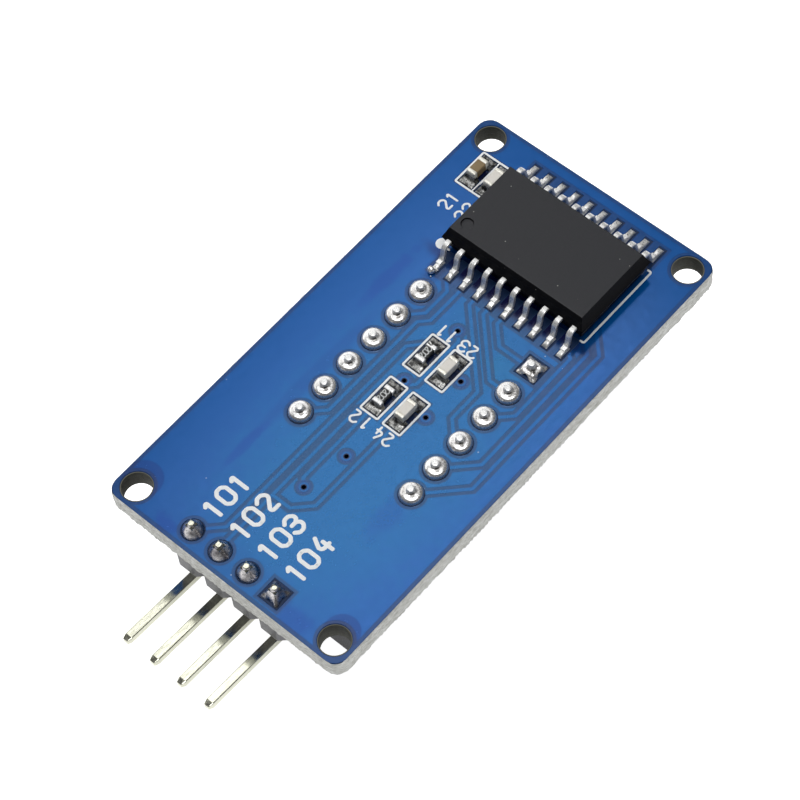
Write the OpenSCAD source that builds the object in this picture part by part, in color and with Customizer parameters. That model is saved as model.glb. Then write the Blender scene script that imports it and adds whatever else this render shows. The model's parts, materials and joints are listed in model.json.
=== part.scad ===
// Four digit seven segment display module, lying on the face of its display.
// Origin: centre of the display's front face. X runs along the board, away from the header.
// Z points up to the side that carries the driver chip.

/* [Display] */
// Length of the display body
disp_len = 30.2; // [29.6:0.1:31]
// Width of the display body
disp_wid = 14; // [13.4:0.1:15]
// Thickness of the display body
disp_h = 7.2; // [6.6:0.1:8]
// Wall round the recess in the display's rear
disp_wall = 0.9; // [0.7:0.1:1.2]
// Depth of the recess in the display's rear
recess_depth = 2.4; // [2:0.1:2.8]
// Thickness of the display's inner circuit board
inner_board_t = 0.8; // [0.6:0.1:1]
// Distance from the resin's surface to the rim of the shell
resin_drop = 0.3; // [0.1:0.1:0.5]
// Thickness of the black film on the face
film_t = 0.05; // [0.03:0.01:0.1]
// Height of a digit
digit_h = 9.14; // [8:0.1:9.6]
// Width of a digit across its upright segments
digit_w = 4.9; // [4.4:0.1:5.1]
// Distance between neighbouring digits
digit_pitch = 7.4; // [7:0.1:7.5]
// Lean of the digits in degrees
digit_lean = 10; // [0:1:12]
// Width of a segment
seg_w = 0.9; // [0.7:0.05:1.1]
// Distance from a segment's tip to the crossing of the centre lines
seg_gap = 0.14; // [0.08:0.02:0.2]
// Diameter of a colon dot
dot_d = 1.1; // [0.8:0.1:1.3]
// Distance between the two colon dots
dot_pitch = 3.6; // [3:0.1:4.4]
// Width of a light emitting die
die_w = 0.3; // [0.2:0.05:0.35]
// Thickness of a light emitting die
die_t = 0.15; // [0.1:0.05:0.2]
// Diameter of a display pin
pin_d = 0.55; // [0.45:0.01:0.6]
// Distance between the two rows of display pins
row_span = 10.16; // [10.16:0.01:10.2]
// Rise of the display pins above the laminate
pin_rise = 0.95; // [0.85:0.05:1.2]

/* [Board] */
// Length of the circuit board
board_len = 40.4; // [40.2:0.1:42]
// Width of the circuit board
board_wid = 21.3; // [21:0.1:23]
// Thickness of the laminate
core_t = 1.5; // [0.8:0.1:1.6]
// Radius of the board's corners
corner_r = 1.1; // [0.5:0.1:1.3]
// Board's centre beside the display's centre, along the board
board_x = 0.9; // [0.8:0.05:1]
// Board's centre beside the display's centre, across the board
board_y = 0.75; // [0.7:0.05:0.8]
// Diameter of the mounting holes
hole_d = 2.2; // [2:0.1:2.4]
// Distance from the centre of a mounting hole to the board's two edges
hole_inset = 1.55; // [1.5:0.05:1.6]
// Thickness of the copper on either side
copper_t = 0.035; // [0.035:0.005:0.05]
// Distance from the pour to the edges of the board
pour_inset = 0.35; // [0.25:0.05:0.45]
// Thickness of the solder mask over bare laminate
mask_t = 0.045; // [0.045:0.005:0.05]
// Thickness of the solder mask over copper
mask_over_t = 0.02; // [0.02:0.005:0.03]
// Distance from the solder mask to the edges of the board
mask_inset = 0.06; // [0.04:0.02:0.18]
// Bare rim round a mounting hole
mask_rim = 0.12; // [0.08:0.02:0.18]
// Distance from a pad to the solder mask
mask_gap = 0.06; // [0.04:0.01:0.08]
// Thickness of the white print
print_t = 0.02; // [0.015:0.005:0.03]
// Width of the tracks
track_w = 0.25; // [0.22:0.01:0.28]
// Bare strip on either side of a track
track_gap = 0.27; // [0.26:0.005:0.28]
// Bare ring round a pad
pad_gap = 0.28; // [0.2:0.02:0.32]
// Thickness of the plating in the holes
plating_t = 0.05; // [0.03:0.01:0.06]
// Drilled diameter of the display's pin holes
pin_hole_d = 0.95; // [0.9:0.05:1]
// Diameter of the display's pads
pin_pad_d = 1.8; // [1.6:0.05:1.9]
// Drilled diameter of the vias
via_d = 0.42; // [0.35:0.01:0.45]
// Diameter of the ring round a via
via_pad_d = 0.8; // [0.7:0.05:0.9]

/* [Driver chip] */
// Length of the chip's body
chip_len = 12.8; // [12.6:0.1:13]
// Width of the chip's body
chip_wid = 7.5; // [7.4:0.1:7.6]
// Height of the chip's body
chip_h = 2.3; // [2.1:0.1:2.4]
// Gap below the chip's body
chip_lift = 0.15; // [0.1:0.05:0.25]
// Centre of the chip's pads beside the display's centre, along the board
lands_x = 14.02; // [13.95:0.01:14.1]
// Centre of the chip's pads beside the display's centre, across the board
lands_y = -0.18; // [-0.2:0.01:-0.1]
// Chip's centre beside the display's centre, along the board
chip_x = 13.9; // [13.85:0.01:14.1]
// Chip's centre beside the display's centre, across the board
chip_y = -0.08; // [-0.2:0.01:-0.05]
// Slope of the body's sides, from the middle to the top and to the bottom
chip_draft = 0.36; // [0.2:0.02:0.4]
// Width of the bevel over the first row of leads
bevel_w = 0.1; // [0.06:0.02:0.4]
// Height of that bevel
bevel_h = 0.35; // [0.2:0.05:0.5]
// Diameter of the dimple that marks the first lead
dimple_d = 0.9; // [0.6:0.1:1.2]
// Depth of the dimple
dimple_depth = 0.12; // [0.05:0.01:0.2]
// Distance between neighbouring leads
lead_pitch = 1.27; // [1.27:0.01:1.28]
// Width of a lead
lead_w = 0.41; // [0.35:0.01:0.48]
// Thickness of a lead
lead_t = 0.25; // [0.2:0.01:0.28]
// Height at which the leads leave the body, as a share of the body's height
lead_level = 0.56; // [0.5:0.01:0.6]
// Distance between the tips of opposite leads
lead_span = 10.25; // [10.1:0.05:10.5]
// Distance from the body's side to the corner of a lead's shoulder
shoulder_len = 0.56; // [0.5:0.02:0.6]
// Length of a lead's foot
foot_len = 0.55; // [0.5:0.05:0.6]
// Middle radius of a lead's bends
lead_bend_r = 0.4; // [0.3:0.01:0.42]
// Length of a lead inside the body
lead_root = 0.7; // [0.5:0.1:0.9]
// Length of a chip pad
chip_pad_len = 2.05; // [1.9:0.05:2.2]
// Width of a chip pad
chip_pad_w = 0.6; // [0.55:0.01:0.66]
// Distance from a lead's toe to the outer end of its pad
toe_room = 0.72; // [0.6:0.02:0.8]
// Length of the die inside the chip
chip_die_len = 2.6; // [2:0.1:3]
// Width of the die inside the chip
chip_die_wid = 1.9; // [1.5:0.1:2.2]
// Thickness of the die inside the chip
chip_die_t = 0.3; // [0.2:0.05:0.35]

/* [Small parts] */
// Length of the resistors and capacitors
small_len = 1.6; // [1.5:0.05:1.7]
// Width of the resistors and capacitors
small_wid = 0.8; // [0.75:0.05:0.85]
// Height of a resistor
resistor_h = 0.45; // [0.4:0.05:0.5]
// Height of a capacitor
capacitor_h = 0.8; // [0.7:0.05:0.85]
// Length of the metal at either end
end_cap_len = 0.36; // [0.25:0.01:0.4]
// Thickness of the metal at either end
end_cap_t = 0.03; // [0.02:0.01:0.05]
// Length of a pad below a small part
small_pad_len = 1; // [0.9:0.05:1.05]
// Width of a pad below a small part
small_pad_w = 1.28; // [1.2:0.02:1.34]
// Distance between the two pads of a small part
small_pad_pitch = 1.95; // [1.9:0.05:2]
// Length of the printed box round a small part
box_len = 3.2; // [3.18:0.01:3.25]
// Width of the printed box round a small part
box_wid = 1.56; // [1.54:0.01:1.6]

/* [Header] */
// Number of header pins
header_pins = 4; // [2:1:5]
// Distance between neighbouring pins, of the header and of the display
pitch = 2.54; // [2.54:0.01:2.55]
// Width of the square header pins
header_pin_w = 0.64; // [0.5:0.01:0.66]
// Length and width of one housing block
block_w = 2.54; // [2.4:0.02:2.54]
// Height of the housing
block_h = 2.54; // [2.3:0.02:2.6]
// Corner cut of a housing block
block_cut = 0.5; // [0.3:0.05:0.7]
// Drop of the header pins from the laminate to their bend
pin_drop = 4; // [3.6:0.05:4.2]
// Reach of the header pins from their holes
pin_reach = 7.65; // [6:0.05:9]
// Rise of the pins' outer parts in degrees
pin_tilt = 3.9; // [0:0.1:5]
// Middle radius of the header pins' bend
pin_bend_r = 0.5; // [0.4:0.05:0.55]
// Length of the tapered tips
tip_len = 0.35; // [0.3:0.05:0.6]
// Width of a pin's end
tip_w = 0.43; // [0.3:0.01:0.45]
// Drilled diameter of the header's holes
header_hole_d = 1.1; // [1.05:0.05:1.15]
// Diameter of the header's pads
header_pad_d = 1.65; // [1.5:0.05:1.7]

/* [Solder and print] */
// Thickness of the solder below a soldered part
solder_t = 0.04; // [0.03:0.01:0.06]
// Height of the solder on a display pin
joint_h = 0.5; // [0.4:0.02:0.6]
// Height of the solder on a header pin
header_joint_h = 0.9; // [0.7:0.05:0.92]
// Height of the numbers beside the header
label_h = 1.45; // [1.3:0.05:1.5]
// Height of the numbers beside the small parts
mark_h = 0.95; // [0.85:0.05:1]
// Diameter of the printed dot beside the first lead
first_dot_d = 0.94; // [0.8:0.02:1]
// Width of the printed strokes
print_w = 0.2; // [0.16:0.01:0.24]

/* [Hidden] */
$fn = 48;
eps = 0.01;
column_count = 6;
leads_per_side = 10;
gap_front = copper_t + mask_over_t;
core_z0 = disp_h + gap_front;
core_z1 = core_z0 + core_t;
pad_z = core_z1 + copper_t;
print_z = pad_z + mask_over_t;
channel_top = disp_h - recess_depth;
hole_x = board_len / 2 - hole_inset;
hole_y = board_wid / 2 - hole_inset;
header_x = board_x - hole_x;
square_side = pin_pad_d - 0.08;
mount_places = [for (sx = [-1, 1], sy = [-1, 1]) [board_x + sx * hole_x, board_y + sy * hole_y]];

// Places on the board

function pin_at(column, row) = [(column - (column_count - 1) / 2) * pitch, row * row_span / 2];
function header_at(i) = [header_x, board_y + ((header_pins + 1) / 2 - i) * pitch];
function lead_side(i) = i <= leads_per_side ? -1 : 1;
function lead_row(i) = i <= leads_per_side ? i : 2 * leads_per_side + 1 - i;
function row_offset(i) = ((leads_per_side + 1) / 2 - lead_row(i)) * lead_pitch;
function lead_y(i) = chip_y + row_offset(i);
function land_y(i) = lands_y + row_offset(i);
chip_pad_x = lead_span / 2 + toe_room - chip_pad_len / 2;
function chip_pad_at(i) = [lands_x + lead_side(i) * chip_pad_x, land_y(i)];

// Centres of the two resistors, and of the four capacitors
resistor_places = [[2.62, 1.37], [-1.82, 1.37]];
capacitor_places = [[16.72, 8.65], [16.72, 8.65 - box_wid], [2.62, -0.68], [-1.82, -0.68]];
small_places = concat(resistor_places, capacitor_places);
via_places = [[-10.55, 0.95], [-6.93, 0.3], [0.1, 1.2], [5.5, 0.95], [-1.2, -1.9], [2.5, -1.9]];

// Lines and bends

function unit(v) = v / norm(v);
function left_of(v) = [-v[1], v[0]];
function ahead(path, i) = unit(path[min(i + 1, len(path) - 1)] - path[min(i, len(path) - 2)]);
function behind(path, i) = unit(path[max(i, 1)] - path[max(i - 1, 0)]);
function mitre(path, i) =
    let (side = unit(left_of(ahead(path, i) + behind(path, i))))
    side / (side * left_of(ahead(path, i)));
// Outline of a band of one width along a path, with mitred corners
function band(path, width) = concat(
    [for (i = [0:len(path) - 1]) path[i] + mitre(path, i) * width / 2],
    [for (i = [len(path) - 1:-1:0]) path[i] - mitre(path, i) * width / 2]);
function turned(v, angle) = [v[0] * cos(angle) - v[1] * sin(angle), v[0] * sin(angle) + v[1] * cos(angle)];
function turn_angle(a, b) = atan2(a[0] * b[1] - a[1] * b[0], a * b);
// Path whose inner corners are arcs of one radius
function rounded(path, radius, steps = 6) = [
    for (i = [0:len(path) - 1])
        let (a = behind(path, i), b = ahead(path, i), turn = turn_angle(a, b))
        for (k = [0:abs(turn) < 1 ? 0 : steps])
            abs(turn) < 1 ? path[i] :
                path[i] - a * radius * tan(abs(turn) / 2)
                + left_of(a) * sign(turn) * radius
                - turned(left_of(a), turn * k / steps) * sign(turn) * radius];

module plate_outline(length, width, radius) {
    square([length - 2 * radius, width], center = true);
    square([length, width - 2 * radius], center = true);
    for (sx = [-1, 1], sy = [-1, 1])
        translate([sx * (length / 2 - radius), sy * (width / 2 - radius)]) circle(radius);
}

module board_outline(inset = 0) {
    translate([board_x, board_y])
        plate_outline(board_len - 2 * inset, board_wid - 2 * inset, corner_r - inset);
}

module at_mounts() {
    for (place = mount_places) translate(place) children();
}

module at_display_pins() {
    for (column = [0:column_count - 1], row = [-1, 1]) translate(pin_at(column, row)) children();
}

module at_header_pins() {
    for (i = [1:header_pins]) translate(header_at(i)) children();
}

// Display

function level_bar(length) = [
    [-length / 2, 0], [-(length - seg_w) / 2, seg_w / 2], [(length - seg_w) / 2, seg_w / 2],
    [length / 2, 0], [(length - seg_w) / 2, -seg_w / 2], [-(length - seg_w) / 2, -seg_w / 2]];
level_len = digit_w - seg_w - 2 * seg_gap;
upright_len = (digit_h - seg_w) / 2 - 2 * seg_gap;
// Centres of the seven segments of an upright digit: three level ones, then four upright ones
seg_centres = concat(
    [for (k = [-1, 0, 1]) [0, k * (digit_h - seg_w) / 2]],
    [for (sx = [-1, 1], sy = [-1, 1]) [sx * (digit_w - seg_w) / 2, sy * (digit_h - seg_w) / 4]]);
function leaned(p) = [p[0] - p[1] * tan(digit_lean), p[1]];
function seg_points(k) = [
    for (p = level_bar(k < 3 ? level_len : upright_len))
        leaned(seg_centres[k] + (k < 3 ? p : left_of(p)))];
function digit_centre(i) = [(2.5 - i) * digit_pitch, 0];
function dot_centre(k) = leaned([0, k * dot_pitch / 2]);

module digit_outline(i) {
    translate(digit_centre(i))
        for (k = [0:6]) polygon(seg_points(k));
}

module dots_outline() {
    for (k = [-1, 1]) translate(dot_centre(k)) circle(d = dot_d);
}

module led_places() {
    for (i = [1:4], k = [0:6]) translate(digit_centre(i) + leaned(seg_centres[k])) children();
    for (k = [-1, 1]) translate(dot_centre(k)) children();
}

module led_dies() {
    color("gold")
        led_places()
            translate([-die_w / 2, -die_w / 2, channel_top - die_t]) cube([die_w, die_w, die_t]);
}

// Fills light channels from the face to the inner board, round the dies
module channel_fill() {
    difference() {
        translate([0, 0, film_t]) linear_extrude(channel_top - film_t) children();
        led_dies();
    }
}

module digit_segments(i) {
    color("white")
        channel_fill() digit_outline(i);
}

module colon_dots() {
    color("white")
        channel_fill() dots_outline();
}

module face_windows() {
    for (i = [1:4]) digit_outline(i);
    dots_outline();
}

module recess_outline() {
    square([disp_len - 2 * disp_wall, disp_wid - 2 * disp_wall], center = true);
}

module display_shell() {
    color("black")
        difference() {
            translate([0, 0, film_t])
                linear_extrude(disp_h - film_t) square([disp_len, disp_wid], center = true);
            translate([0, 0, channel_top]) linear_extrude(recess_depth + eps) recess_outline();
            linear_extrude(disp_h) face_windows();
        }
}

module display_face_film() {
    color("dimgray")
        linear_extrude(film_t)
            difference() {
                square([disp_len, disp_wid], center = true);
                face_windows();
            }
}

module display_inner_board() {
    color("seagreen")
        difference() {
            translate([0, 0, channel_top]) linear_extrude(inner_board_t) recess_outline();
            at_display_pins() translate([0, 0, channel_top - eps]) cylinder(d = pin_d, h = recess_depth);
        }
}

module display_resin() {
    resin_z = channel_top + inner_board_t;
    color("lightgray")
        difference() {
            translate([0, 0, resin_z]) linear_extrude(disp_h - resin_drop - resin_z) recess_outline();
            at_display_pins() translate([0, 0, resin_z - eps]) cylinder(d = pin_d, h = recess_depth);
        }
}

// A round pin with a small cone at its free end
module display_pin() {
    cone_h = pin_d / 6;
    pin_len = core_z1 + pin_rise - channel_top;
    translate([0, 0, channel_top]) {
        cylinder(d = pin_d, h = pin_len - cone_h);
        translate([0, 0, pin_len - cone_h]) cylinder(d1 = pin_d, d2 = pin_d * 0.7, h = cone_h);
    }
}

module display_pins(row) {
    color("silver")
        for (column = [0:column_count - 1]) translate(pin_at(column, row)) display_pin();
}

module display_pins_upper() {
    display_pins(1);
}

module display_pins_lower() {
    display_pins(-1);
}

// Board

module pin_drills(grow = 0) {
    at_display_pins() circle(d = pin_hole_d + 2 * grow);
    at_header_pins() circle(d = header_hole_d + 2 * grow);
    for (place = via_places) translate(place) circle(d = via_d + 2 * grow);
}

module circuit_board() {
    color("tan")
        translate([0, 0, core_z0])
            difference() {
                linear_extrude(core_t) board_outline();
                for (place = mount_places)
                    translate([place[0], place[1], -eps]) cylinder(d = hole_d, h = core_t + 2 * eps);
                translate([0, 0, -eps]) linear_extrude(core_t + 2 * eps) pin_drills();
            }
}

// Pads of the pins that pass through the board. The first pin of each row of numbers is square.
module pin_lands(grow = 0) {
    for (column = [0:column_count - 1], row = [-1, 1])
        translate(pin_at(column, row))
            if (column == column_count - 1 && row == -1)
                square(square_side + 2 * grow, center = true);
            else
                circle(d = pin_pad_d + 2 * grow);
    for (i = [1:header_pins])
        translate(header_at(i))
            if (i == header_pins)
                square(header_pad_d + 2 * grow, center = true);
            else
                circle(d = header_pad_d + 2 * grow);
}

module via_lands(grow = 0) {
    for (place = via_places) translate(place) circle(d = via_pad_d + 2 * grow);
}

module chip_lands(grow = 0) {
    for (i = [1:2 * leads_per_side])
        translate(chip_pad_at(i)) square([chip_pad_len + 2 * grow, chip_pad_w + 2 * grow], center = true);
}

// One bare field round each row of chip pads
module chip_row_fields() {
    field_len = (leads_per_side - 1) * lead_pitch + chip_pad_w + 2 * pad_gap;
    for (side = [-1, 1])
        translate([lands_x + side * chip_pad_x, lands_y])
            square([chip_pad_len + 2 * pad_gap, field_len], center = true);
}

module small_lands(grow = 0) {
    for (place = small_places, side = [-1, 1])
        translate(place + [side * small_pad_pitch / 2, 0])
            square([small_pad_len + 2 * grow, small_pad_w + 2 * grow], center = true);
}

// Heights of the lanes that the tracks take along the board
clock_lane = 2.95;
data_lane = 2.2;
upper_lane = 3.68;
pull_lane = 1.47;
data_turn = -0.65;
link_lane = 0.35;
third_lane = -3.35;
inner_lane = -6.6;
middle_lane = -7.3;
outer_lane = -8.02;
// Places where lanes turn
data_turn_x = -12.35;
turn_step = 1.25;
second_turn_x = 9.7;
first_turn_x = 10.1;

// A pin's diagonal way out to a lane, down or up, as two points
function way_out(place, lane) = [place, [place[0] + abs(place[1] - lane), lane]];
// A chip pad's way out to the left and then down on a diagonal to a height
function chip_way(i, height) =
    let (turn = chip_pad_at(i) - [chip_pad_len / 2 + 0.5, 0])
    [chip_pad_at(i), turn, turn - [land_y(i) - height, land_y(i) - height]];

routes = [
    concat(way_out(header_at(1), clock_lane),
           [[2.3, clock_lane], resistor_places[0] + [small_pad_pitch / 2 - 0.05, 0.4]]),
    concat(way_out(header_at(2), data_lane),
           [[-3.7, data_lane], resistor_places[1] - [small_pad_pitch / 2 + 0.1, -0.3]]),
    [[data_turn_x, data_lane], [data_turn_x, data_turn + turn_step], [data_turn_x + turn_step, data_turn],
     capacitor_places[3] - [small_pad_pitch / 2, 0]],
    [via_places[0], via_places[0] + [pull_lane - via_places[0][1], pull_lane - via_places[0][1]],
     resistor_places[1] - [small_pad_pitch / 2, resistor_places[1][1] - pull_lane]],
    concat(way_out(pin_at(0, 1), upper_lane),
           [[4.28, upper_lane], [4.28 + upper_lane - land_y(3), land_y(3)], chip_pad_at(3)]),
    concat(way_out(pin_at(4, 1), upper_lane),
           [[7.55, upper_lane], [7.55 + land_y(2) - upper_lane, land_y(2)], chip_pad_at(2)]),
    concat(chip_way(4, third_lane),
           [[-0.1, third_lane], [pin_at(2, -1)[0], third_lane - pin_at(3, -1)[0] + 0.1], pin_at(2, -1)]),
    concat(chip_way(5, land_y(5) - chip_pad_at(5)[0] + chip_pad_len / 2 + 0.5 + pin_at(4, -1)[0]),
           [pin_at(4, -1)]),
    concat(chip_way(6, land_y(6) - chip_pad_at(6)[0] + chip_pad_len / 2 + 0.5 + pin_at(5, -1)[0]),
           [pin_at(5, -1)]),
    concat(way_out(pin_at(0, -1), outer_lane),
           [[first_turn_x, outer_lane], [first_turn_x + land_y(11) - outer_lane, land_y(11)], chip_pad_at(11)]),
    concat(way_out(pin_at(1, -1), middle_lane),
           [[second_turn_x, middle_lane], [second_turn_x + land_y(12) - middle_lane, land_y(12)],
            chip_pad_at(12)]),
    concat(way_out(pin_at(3, -1), inner_lane),
           [[chip_pad_at(10)[0] - 0.5, inner_lane], chip_pad_at(10)]),
    [via_places[2], [via_places[2][0], link_lane + 0.3], [via_places[2][0] + 0.3, link_lane],
     [via_places[3][0] - 0.6, link_lane], via_places[3]],
];

module tracks(width) {
    for (route = routes) polygon(band(route, width));
}

// The copper on the chip's side: a pour cut round the pads and tracks, and those within it
module rear_copper_area() {
    difference() {
        board_outline(pour_inset);
        at_mounts() circle(d = hole_d + 2 * pour_inset);
        tracks(track_w + 2 * track_gap);
        pin_lands(pad_gap);
        via_lands(pad_gap);
        small_lands(pad_gap);
        chip_row_fields();
    }
    tracks(track_w);
    pin_lands();
    via_lands();
    small_lands();
    chip_lands();
}

module rear_copper() {
    color("peru")
        translate([0, 0, core_z1])
            difference() {
                linear_extrude(copper_t) rear_copper_area();
                translate([0, 0, -eps]) linear_extrude(copper_t + 2 * eps) pin_drills();
            }
}

// A plated hole: a tube through the laminate with a ring on the display's side
module plated_hole(drill, land) {
    difference() {
        union() {
            translate([0, 0, core_z0]) cylinder(d = drill, h = core_t + copper_t);
            translate([0, 0, core_z0 - copper_t]) cylinder(d = land, h = copper_t);
        }
        translate([0, 0, core_z0 - copper_t - eps])
            cylinder(d = drill - 2 * plating_t, h = core_t + 2 * copper_t + 2 * eps);
    }
}

module hole_plating() {
    color("goldenrod") {
        at_display_pins() plated_hole(pin_hole_d, pin_pad_d);
        at_header_pins() plated_hole(header_hole_d, header_pad_d);
        for (place = via_places) translate(place) plated_hole(via_d, via_pad_d);
    }
}

module mask_openings() {
    pin_lands(mask_gap);
    small_lands(mask_gap);
    chip_lands(mask_gap);
    at_mounts() circle(d = hole_d + 2 * mask_rim);
    for (place = via_places) translate(place) circle(d = via_d - 2 * plating_t);
}

module rear_mask() {
    color("royalblue")
        translate([0, 0, core_z1])
            difference() {
                union() {
                    linear_extrude(mask_t) board_outline(mask_inset);
                    linear_extrude(copper_t + mask_over_t) rear_copper_area();
                }
                translate([0, 0, -eps]) linear_extrude(copper_t + eps) rear_copper_area();
                translate([0, 0, -eps]) linear_extrude(2 * mask_t) mask_openings();
            }
}

module front_mask() {
    color("royalblue")
        difference() {
            translate([0, 0, disp_h]) linear_extrude(gap_front) board_outline(mask_inset);
            translate([0, 0, disp_h - eps])
                linear_extrude(gap_front + 2 * eps) {
                    at_mounts() circle(d = hole_d + 2 * mask_rim);
                    at_display_pins() circle(d = pin_pad_d + 2 * mask_gap);
                    at_header_pins() circle(d = header_pad_d + 2 * mask_gap);
                    for (place = via_places) translate(place) circle(d = via_pad_d);
                }
        }
}

// Print

// Strokes of the digits 0 to 4 in a cell of height 1 and width glyph_w
glyph_w = 0.62;
function glyph(digit) =
    let (w = glyph_w, c = 0.18)
    digit == 0 ? [[[w / 2, 0], [w - c, 0], [w, c], [w, 1 - c], [w - c, 1], [w / 2, 1]],
                  [[w / 2, 1], [c, 1], [0, 1 - c], [0, c], [c, 0], [w / 2, 0]]] :
    digit == 1 ? [[[w / 2 - c, 1 - c], [w / 2, 1], [w / 2, 0]]] :
    digit == 2 ? [[[0, 1 - c], [c, 1], [w - c, 1], [w, 1 - c], [w, 0.66], [0.05, 0], [w, 0]]] :
    digit == 3 ? [[[0, 1 - c], [c, 1], [w - c, 1], [w, 1 - c], [w, 0.65], [w - c, 0.52], [c, 0.52]],
                  [[w - c, 0.52], [w, 0.38], [w, c], [w - c, 0], [c, 0], [0, c]]] :
                 [[[w * 0.6, 1], [0, 0.32], [w, 0.32]], [[w * 0.78, 0.6], [w * 0.78, 0]]];

// A number, given as a list of digits, from its lower left corner
module number(digits, height, stroke) {
    advance = (glyph_w + 0.28) * height;
    for (k = [0:len(digits) - 1], line = glyph(digits[k]))
        translate([k * advance, 0]) polygon(band([for (p = line) p * height], stroke));
}

module box_ring(place) {
    translate(place)
        difference() {
            square([box_len + print_w, box_wid + print_w], center = true);
            square([box_len - print_w, box_wid - print_w], center = true);
        }
}

label_offset = [1.6, -label_h / 2 + 0.05];
mark_side = mark_h + 0.12;
module rear_print() {
    half_wid = chip_wid / 2;
    half_len = chip_len / 2 - 0.08;
    tick = 0.28;
    color("white")
        translate([0, 0, print_z])
            linear_extrude(print_t) {
                for (i = [1:header_pins])
                    translate(header_at(i) + label_offset) number([1, 0, i % 5], label_h, print_w * 1.2);
                for (place = small_places) box_ring(place);
                translate(resistor_places[0] + [box_len / 2 + mark_side, -0.66])
                    rotate(90) number([1, 1], mark_h, print_w);
                translate(resistor_places[1] - [box_len / 2 + 0.28, 0.62])
                    rotate(90) number([1, 2], mark_h, print_w);
                translate(capacitor_places[2] + [box_len / 2 + mark_side, -0.66])
                    rotate(90) number([2, 3], mark_h, print_w);
                translate(capacitor_places[3] - [box_len / 2 + 0.28, 0.72])
                    rotate(90) number([2, 4], mark_h, print_w);
                translate(capacitor_places[0] - [box_len / 2 + 2.4, mark_h / 2]) number([2, 1], mark_h, print_w);
                translate(capacitor_places[1] - [box_len / 2 + 2.4, mark_h / 2]) number([2, 2], mark_h, print_w);
                translate([lands_x - half_wid + 0.11, lands_y + half_len + first_dot_d / 2])
                    circle(d = first_dot_d);
                for (end = [-1, 1])
                    translate([lands_x, lands_y])
                        polygon(band([[-half_wid, end * (half_len - tick)], [-half_wid, end * half_len],
                                      [half_wid, end * half_len], [half_wid, end * (half_len - tick)]],
                                     print_w));
            }
}

// Driver chip

foot_z = pad_z + solder_t;
chip_z0 = print_z + chip_lift;
chip_top = chip_z0 + chip_h;
lead_z = chip_z0 + chip_h * lead_level;

// Side view of the body from the bottom round to the middle of the first row's side
function body_right(half) = [
    [-half + chip_draft, chip_z0], [half - chip_draft, chip_z0], [half, lead_z], [half - chip_draft, chip_top]];

module body_profile(half) {
    polygon(concat(body_right(half), [[-half + chip_draft, chip_top], [-half, lead_z]]));
}

module bevelled_profile(half) {
    slope = chip_draft / (chip_top - lead_z);
    polygon(concat(body_right(half),
                   [[-half + chip_draft + bevel_w, chip_top],
                    [-half + chip_draft - bevel_h * slope, chip_top - bevel_h], [-half, lead_z]]));
}

module extruded_side(length) {
    rotate([90, 0, 0]) linear_extrude(length, center = true) children();
}

function die_pad_size() = [chip_die_len + 1.4, chip_die_wid + 0.8];

module chip_die_pad() {
    color("silver")
        translate([chip_x, chip_y, lead_z - lead_t / 2])
            linear_extrude(lead_t) square([die_pad_size()[1], die_pad_size()[0]], center = true);
}

module chip_die() {
    color("slategray")
        translate([chip_x, chip_y, lead_z + lead_t / 2])
            linear_extrude(chip_die_t) square([chip_die_wid, chip_die_len], center = true);
}

module chip_body() {
    dimple_place = [chip_x - chip_wid / 2 + 1.48, chip_y + chip_len / 2 - 1.15, chip_top];
    color("#2b2b2d")
        difference() {
            intersection() {
                translate([chip_x, chip_y]) extruded_side(chip_len) bevelled_profile(chip_wid / 2);
                translate([chip_x, chip_y]) rotate(90) extruded_side(chip_wid + 1) body_profile(chip_len / 2);
            }
            translate(dimple_place - [0, 0, dimple_depth]) cylinder(d = dimple_d, h = 1);
            for (i = [1:2 * leads_per_side]) lead_shape(i);
            chip_die_pad();
            chip_die();
        }
}

// Middle line of a gull wing lead, from inside the body to the toe
knee_x = chip_wid / 2 + shoulder_len;
heel_x = lead_span / 2 - foot_len;
lead_path = rounded([[chip_wid / 2 - lead_root, lead_z], [knee_x, lead_z],
                     [heel_x, foot_z + lead_t / 2], [lead_span / 2, foot_z + lead_t / 2]], lead_bend_r);

module lead_shape(i) {
    translate([chip_x, lead_y(i)])
        mirror([lead_side(i) < 0 ? 1 : 0, 0, 0])
            extruded_side(lead_w) polygon(band(lead_path, lead_t));
}

module chip_lead(i) {
    color("silver") lead_shape(i);
}

// Solder below a foot, up its toe and out to the pad's end
module chip_solder() {
    pad_in = chip_pad_x - chip_pad_len / 2 + 0.08;
    pad_out = chip_pad_x + chip_pad_len / 2 - 0.04;
    color("lightgray")
        for (i = [1:2 * leads_per_side]) {
            toe = lead_span / 2 + lead_side(i) * (chip_x - lands_x);
            translate([lands_x, land_y(i), pad_z])
                mirror([lead_side(i) < 0 ? 1 : 0, 0, 0])
                    extruded_side(chip_pad_w - 0.06)
                        polygon([[pad_in, 0], [pad_in + 0.1, solder_t], [toe, solder_t],
                                 [toe, solder_t + lead_t * 0.8], [toe + 0.3, solder_t + lead_t * 0.3],
                                 [toe + 0.4, solder_t], [pad_out, 0]]);
        }
}

// Small parts

small_z = pad_z + solder_t;

module small_box(place, length, width, height, lift = 0) {
    translate([place[0], place[1], small_z + lift + height / 2])
        cube([length, width, height], center = true);
}

// Ceramic between and inside the two metal ends
module small_body(place, height) {
    small_box(place, small_len - 2 * end_cap_t, small_wid - 2 * end_cap_t, height - 2 * end_cap_t, end_cap_t);
}

module small_ends(place, height) {
    difference() {
        small_box(place, small_len, small_wid, height);
        small_box(place, small_len - 2 * end_cap_len, small_wid + eps, height + 2 * eps, -eps);
        small_body(place, height);
    }
}

module resistor_body(i) {
    color("#1c1c1e") small_body(resistor_places[i - 1], resistor_h);
}

module resistor_ends(i) {
    color("silver") small_ends(resistor_places[i - 1], resistor_h);
}

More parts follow.
